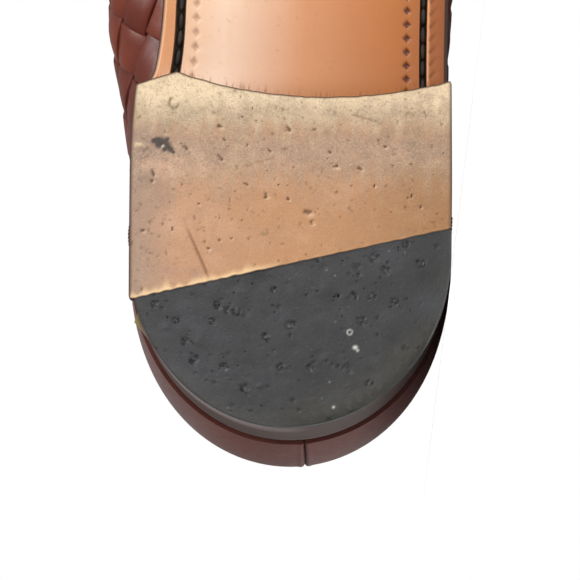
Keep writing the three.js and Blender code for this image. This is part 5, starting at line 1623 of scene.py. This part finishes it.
def smooth_path(rows, count):
    """A smooth curve through the places of a short list, evenly paced by the distances between them."""
    p = np.concatenate([net_point(u, v, lift) for u, v, lift in rows])
    p = np.concatenate([[2 * p[0] - p[1]], p, [2 * p[-1] - p[-2]]])
    knots = np.concatenate([[0], np.cumsum(np.linalg.norm(np.diff(p, axis=0), axis=1) ** 0.5)])
    line = []
    for t in np.linspace(knots[1], knots[-2], count):
        k = int(np.clip(np.searchsorted(knots, t, "right") - 1, 1, len(p) - 3))
        t0, t1, t2, t3 = knots[k - 1 : k + 3]
        first = mix(p[k - 1], p[k], (t - t0) / (t1 - t0))
        second = mix(p[k], p[k + 1], (t - t1) / (t2 - t1))
        third = mix(p[k + 1], p[k + 2], (t - t2) / (t3 - t2))
        start, end = mix(first, second, (t - t0) / (t2 - t0)), mix(second, third, (t - t1) / (t3 - t1))
        line.append(mix(start, end, (t - t1) / (t2 - t1)))
    return np.array(line)


print("lace ends start at", *(smooth_path(rows, 2)[0].round(1) for rows in LACE_ENDS.values()))


# %% Round lace
def tube(path, radius, sides=14, closed=False):
    """A round tube along a path, with its frame carried on from point to point."""
    if closed:
        way = np.roll(path, -1, 0) - np.roll(path, 1, 0)
    else:
        way = np.gradient(path, axis=0)
    way /= np.linalg.norm(way, axis=1, keepdims=True)
    side = np.cross(way[0], [0.3, 0.2, 1.0])
    rings = []
    for point, ahead in zip(path, way):
        side = side - ahead * (side @ ahead)
        side /= np.linalg.norm(side)
        up = np.cross(ahead, side)
        angle = np.arange(sides)[:, None] / sides * 2 * np.pi
        rings.append(point + radius * (np.cos(angle) * side + np.sin(angle) * up))
    points = np.concatenate(rings)
    count = len(path)
    faces = list(grid_faces(count, sides, wrap=True, flip=True))
    if closed:
        last, first = (count - 1) * sides + np.arange(sides), rings_match(rings[-1], rings[0])
        faces += list(np.stack([np.roll(last, -1), np.roll(first, -1), first, last], -1)[:, ::-1])
    else:
        faces += [tuple(range(sides)), tuple(range(count * sides - 1, count * sides - sides - 1, -1))]
    return points, faces


def rings_match(last, first):
    """Order of the first ring's points that lies nearest to the last ring."""
    shifts = [np.linalg.norm(np.roll(first, -k, 0) - last, axis=1).sum() for k in range(len(first))]
    return np.roll(np.arange(len(first)), -int(np.argmin(shifts)))


# %% Lace leather
lace_finish, tree, shader = start_finish("lace_leather")
grain = noise(tree, 1500, 3, 0.65)
worn = noise(tree, 380, 4, 0.7)
russet = blend(tree, spread(tree, worn, 0.36, 0.68), linear(78, 36, 25), linear(112, 58, 40))
rough = spread(tree, worn, 0.3, 0.7, 0.36, 0.52)
set_socket(tree, shader, Base_Color=russet, Roughness=rough, Coat_Weight=0.3, Coat_Roughness=0.25)
set_socket(tree, shader, Normal=bump(tree, grain, 0.00009, 0.4, normal=bump(tree, worn, 0.00014, 0.3)))

for side, name in ((-1, "inner"), (1, "outer")):
    bar = smooth_path([(u, side * v, lift) for u, v, lift in LACE_BAR], 30)
    points, faces = tube(bar, LACE / 2)
    make_piece(
        f"lace_side_{name}", points, faces, lace_finish, [f"lace_bar_{name}"], sharp=60,
    )


# %% [markdown]
# The knot is an overhand knot drawn tight. A three-lobed closed curve has the same crossings, so a tube
# along it reads as the knot from every side.

# %% Knot
def frame_on(u, v, lift, ahead):
    """Origin and three directions on the vamp: across, forward and out."""
    origin = net_point(u, v, lift)[0]
    forward = ahead - origin
    forward /= np.linalg.norm(forward)
    across = np.cross(forward, net_point(u, v, lift + 1)[0] - origin)
    across /= np.linalg.norm(across)
    return origin, np.stack([across, forward, np.cross(across, forward)])


KNOT_AT = 166.0
KNOT_WIDE, KNOT_DEEP, KNOT_THICK = 13.0, 9.0, 7.6
KNOT_LIFT = 1.2 + KNOT_THICK / 2
KNOT_TUBE = 1.75
t = np.linspace(0, 2 * np.pi, 121)[:-1]
lobes = np.stack([np.sin(t) + 2 * np.sin(2 * t), np.cos(t) - 2 * np.cos(2 * t), -np.sin(3 * t)], 1)
room = np.array([KNOT_WIDE, KNOT_DEEP, KNOT_THICK]) / 2 - KNOT_TUBE
knot_origin, knot_frame = frame_on(KNOT_AT, 0.0, KNOT_LIFT, net_point(KNOT_AT + 5, 0.0, KNOT_LIFT)[0])
knot_path = knot_origin + (lobes / np.abs(lobes).max(0) * room) @ knot_frame
points, faces = tube(knot_path, KNOT_TUBE, closed=True)
make_piece("tied_knot", points, faces, lace_finish, ["lace_knot"], sharp=60)

# %% Tassels
TASSEL_LONG, CAP_LONG = 38.0, 8.0
SKIRT_RADIUS, FLATNESS, TASSEL_LIFT = 6.0, 0.78, 8.6
TASSEL_AIM = {"inner": ((201.0, -2.3), (235.0, 13.0)), "outer": ((195.1, 18.0), (224.0, 40.0))}
CAP_PROFILE = [
    # radius, distance from the top
    (2.4, 0.0), (3.6, 0.4), (4.4, 1.3), (4.6, 2.2), (4.5, 3.6), (4.62, 4.2), (4.5, 4.8), (4.62, 6.2),
    (4.7, 7.2), (4.35, 8.0), (3.6, 8.3),
]
STRIP_WIDE, STRIP_THICK = 0.92, 0.42
STRIP_SECTION = [
    # half widths across, thicknesses out
    (-1, -0.6), (-0.9, 1), (0, 1.3), (0.9, 1), (1, -0.6),
]


def tassel_mesh(rng):
    """Rolled cap and a fringe of cut strips, hanging along +Y."""
    sides = 28
    angle = np.arange(sides) / sides * 2 * np.pi
    around = lambda r, y: np.column_stack([r * np.cos(angle), np.full(sides, y), r * np.sin(angle)])
    cap = np.concatenate([around(r, y) for r, y in CAP_PROFILE])
    points, faces = [cap], list(grid_faces(len(CAP_PROFILE), sides, wrap=True))
    faces += [tuple(range(sides)), tuple(range(len(cap) - 1, len(cap) - sides - 1, -1))]
    total = len(cap)
    for layer, strips, reach in ((0, 15, 1.0), (1, 10, 0.6)):
        for k in range(strips):
            turn = (k + 0.5 * layer + rng.uniform(-0.12, 0.12)) / strips * 2 * np.pi
            long = TASSEL_LONG - rng.uniform(0, 1.6) - 0.4 * layer
            y = np.linspace(CAP_LONG - 1.2, long, 12)
            share = (y - y[0]) / (y[-1] - y[0])
            curl = 0.25 * np.sin(share * rng.uniform(4, 8) + rng.uniform(0, 6))
            radius = reach * mix(3.7, SKIRT_RADIUS - 0.5, share ** 0.8) + curl
            sway = turn + 0.12 * np.sin(share * rng.uniform(2, 5) + rng.uniform(0, 6)) * share
            out = np.column_stack([np.cos(sway), np.zeros_like(y), np.sin(sway)])
            side = np.column_stack([-np.sin(sway), np.zeros_like(y), np.cos(sway)])
            middle = radius[:, None] * out + np.outer(y, [0, 1, 0])
            wide = STRIP_WIDE * mix(0.8, 1.0, share)[:, None]
            corners = [middle + a * wide * side + b * STRIP_THICK * out for a, b in STRIP_SECTION]
            strip = np.stack(corners, 1).reshape(-1, 3)
            points.append(strip)
            faces += [tuple(face + total) for face in grid_faces(len(y), len(corners), wrap=True)]
            first_end = np.arange(len(corners))
            faces += [tuple(total + first_end), tuple(total + len(strip) - 1 - first_end)]
            total += len(strip)
    return np.concatenate(points) * [1, 1, FLATNESS], faces


# %% Tassels and lace ends in place
tassel_rng = np.random.default_rng(3)
for name, (start, end) in TASSEL_AIM.items():
    origin, axes = frame_on(*start, TASSEL_LIFT, net_point(*end, TASSEL_LIFT)[0])
    points, faces = tassel_mesh(tassel_rng)
    tassel = make_piece(
        f"fringe_{name}", origin + points @ axes, faces, lace_finish,
        [f"tassel_{name}"], sharp=40,
    )
    route = smooth_path(LACE_ENDS[name], 40)
    points, faces = tube(route, LACE / 2)
    lace_end = make_piece(
        f"lace_tail_{name}", points, faces, lace_finish, [f"lace_end_{name}"], sharp=60,
    )
    row_route = to_row(route)
    length = np.linalg.norm(np.diff(row_route, axis=0), axis=1).sum()
    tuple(row_route[0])
    print("lace end", name, round(length * 1000, 1), "mm")
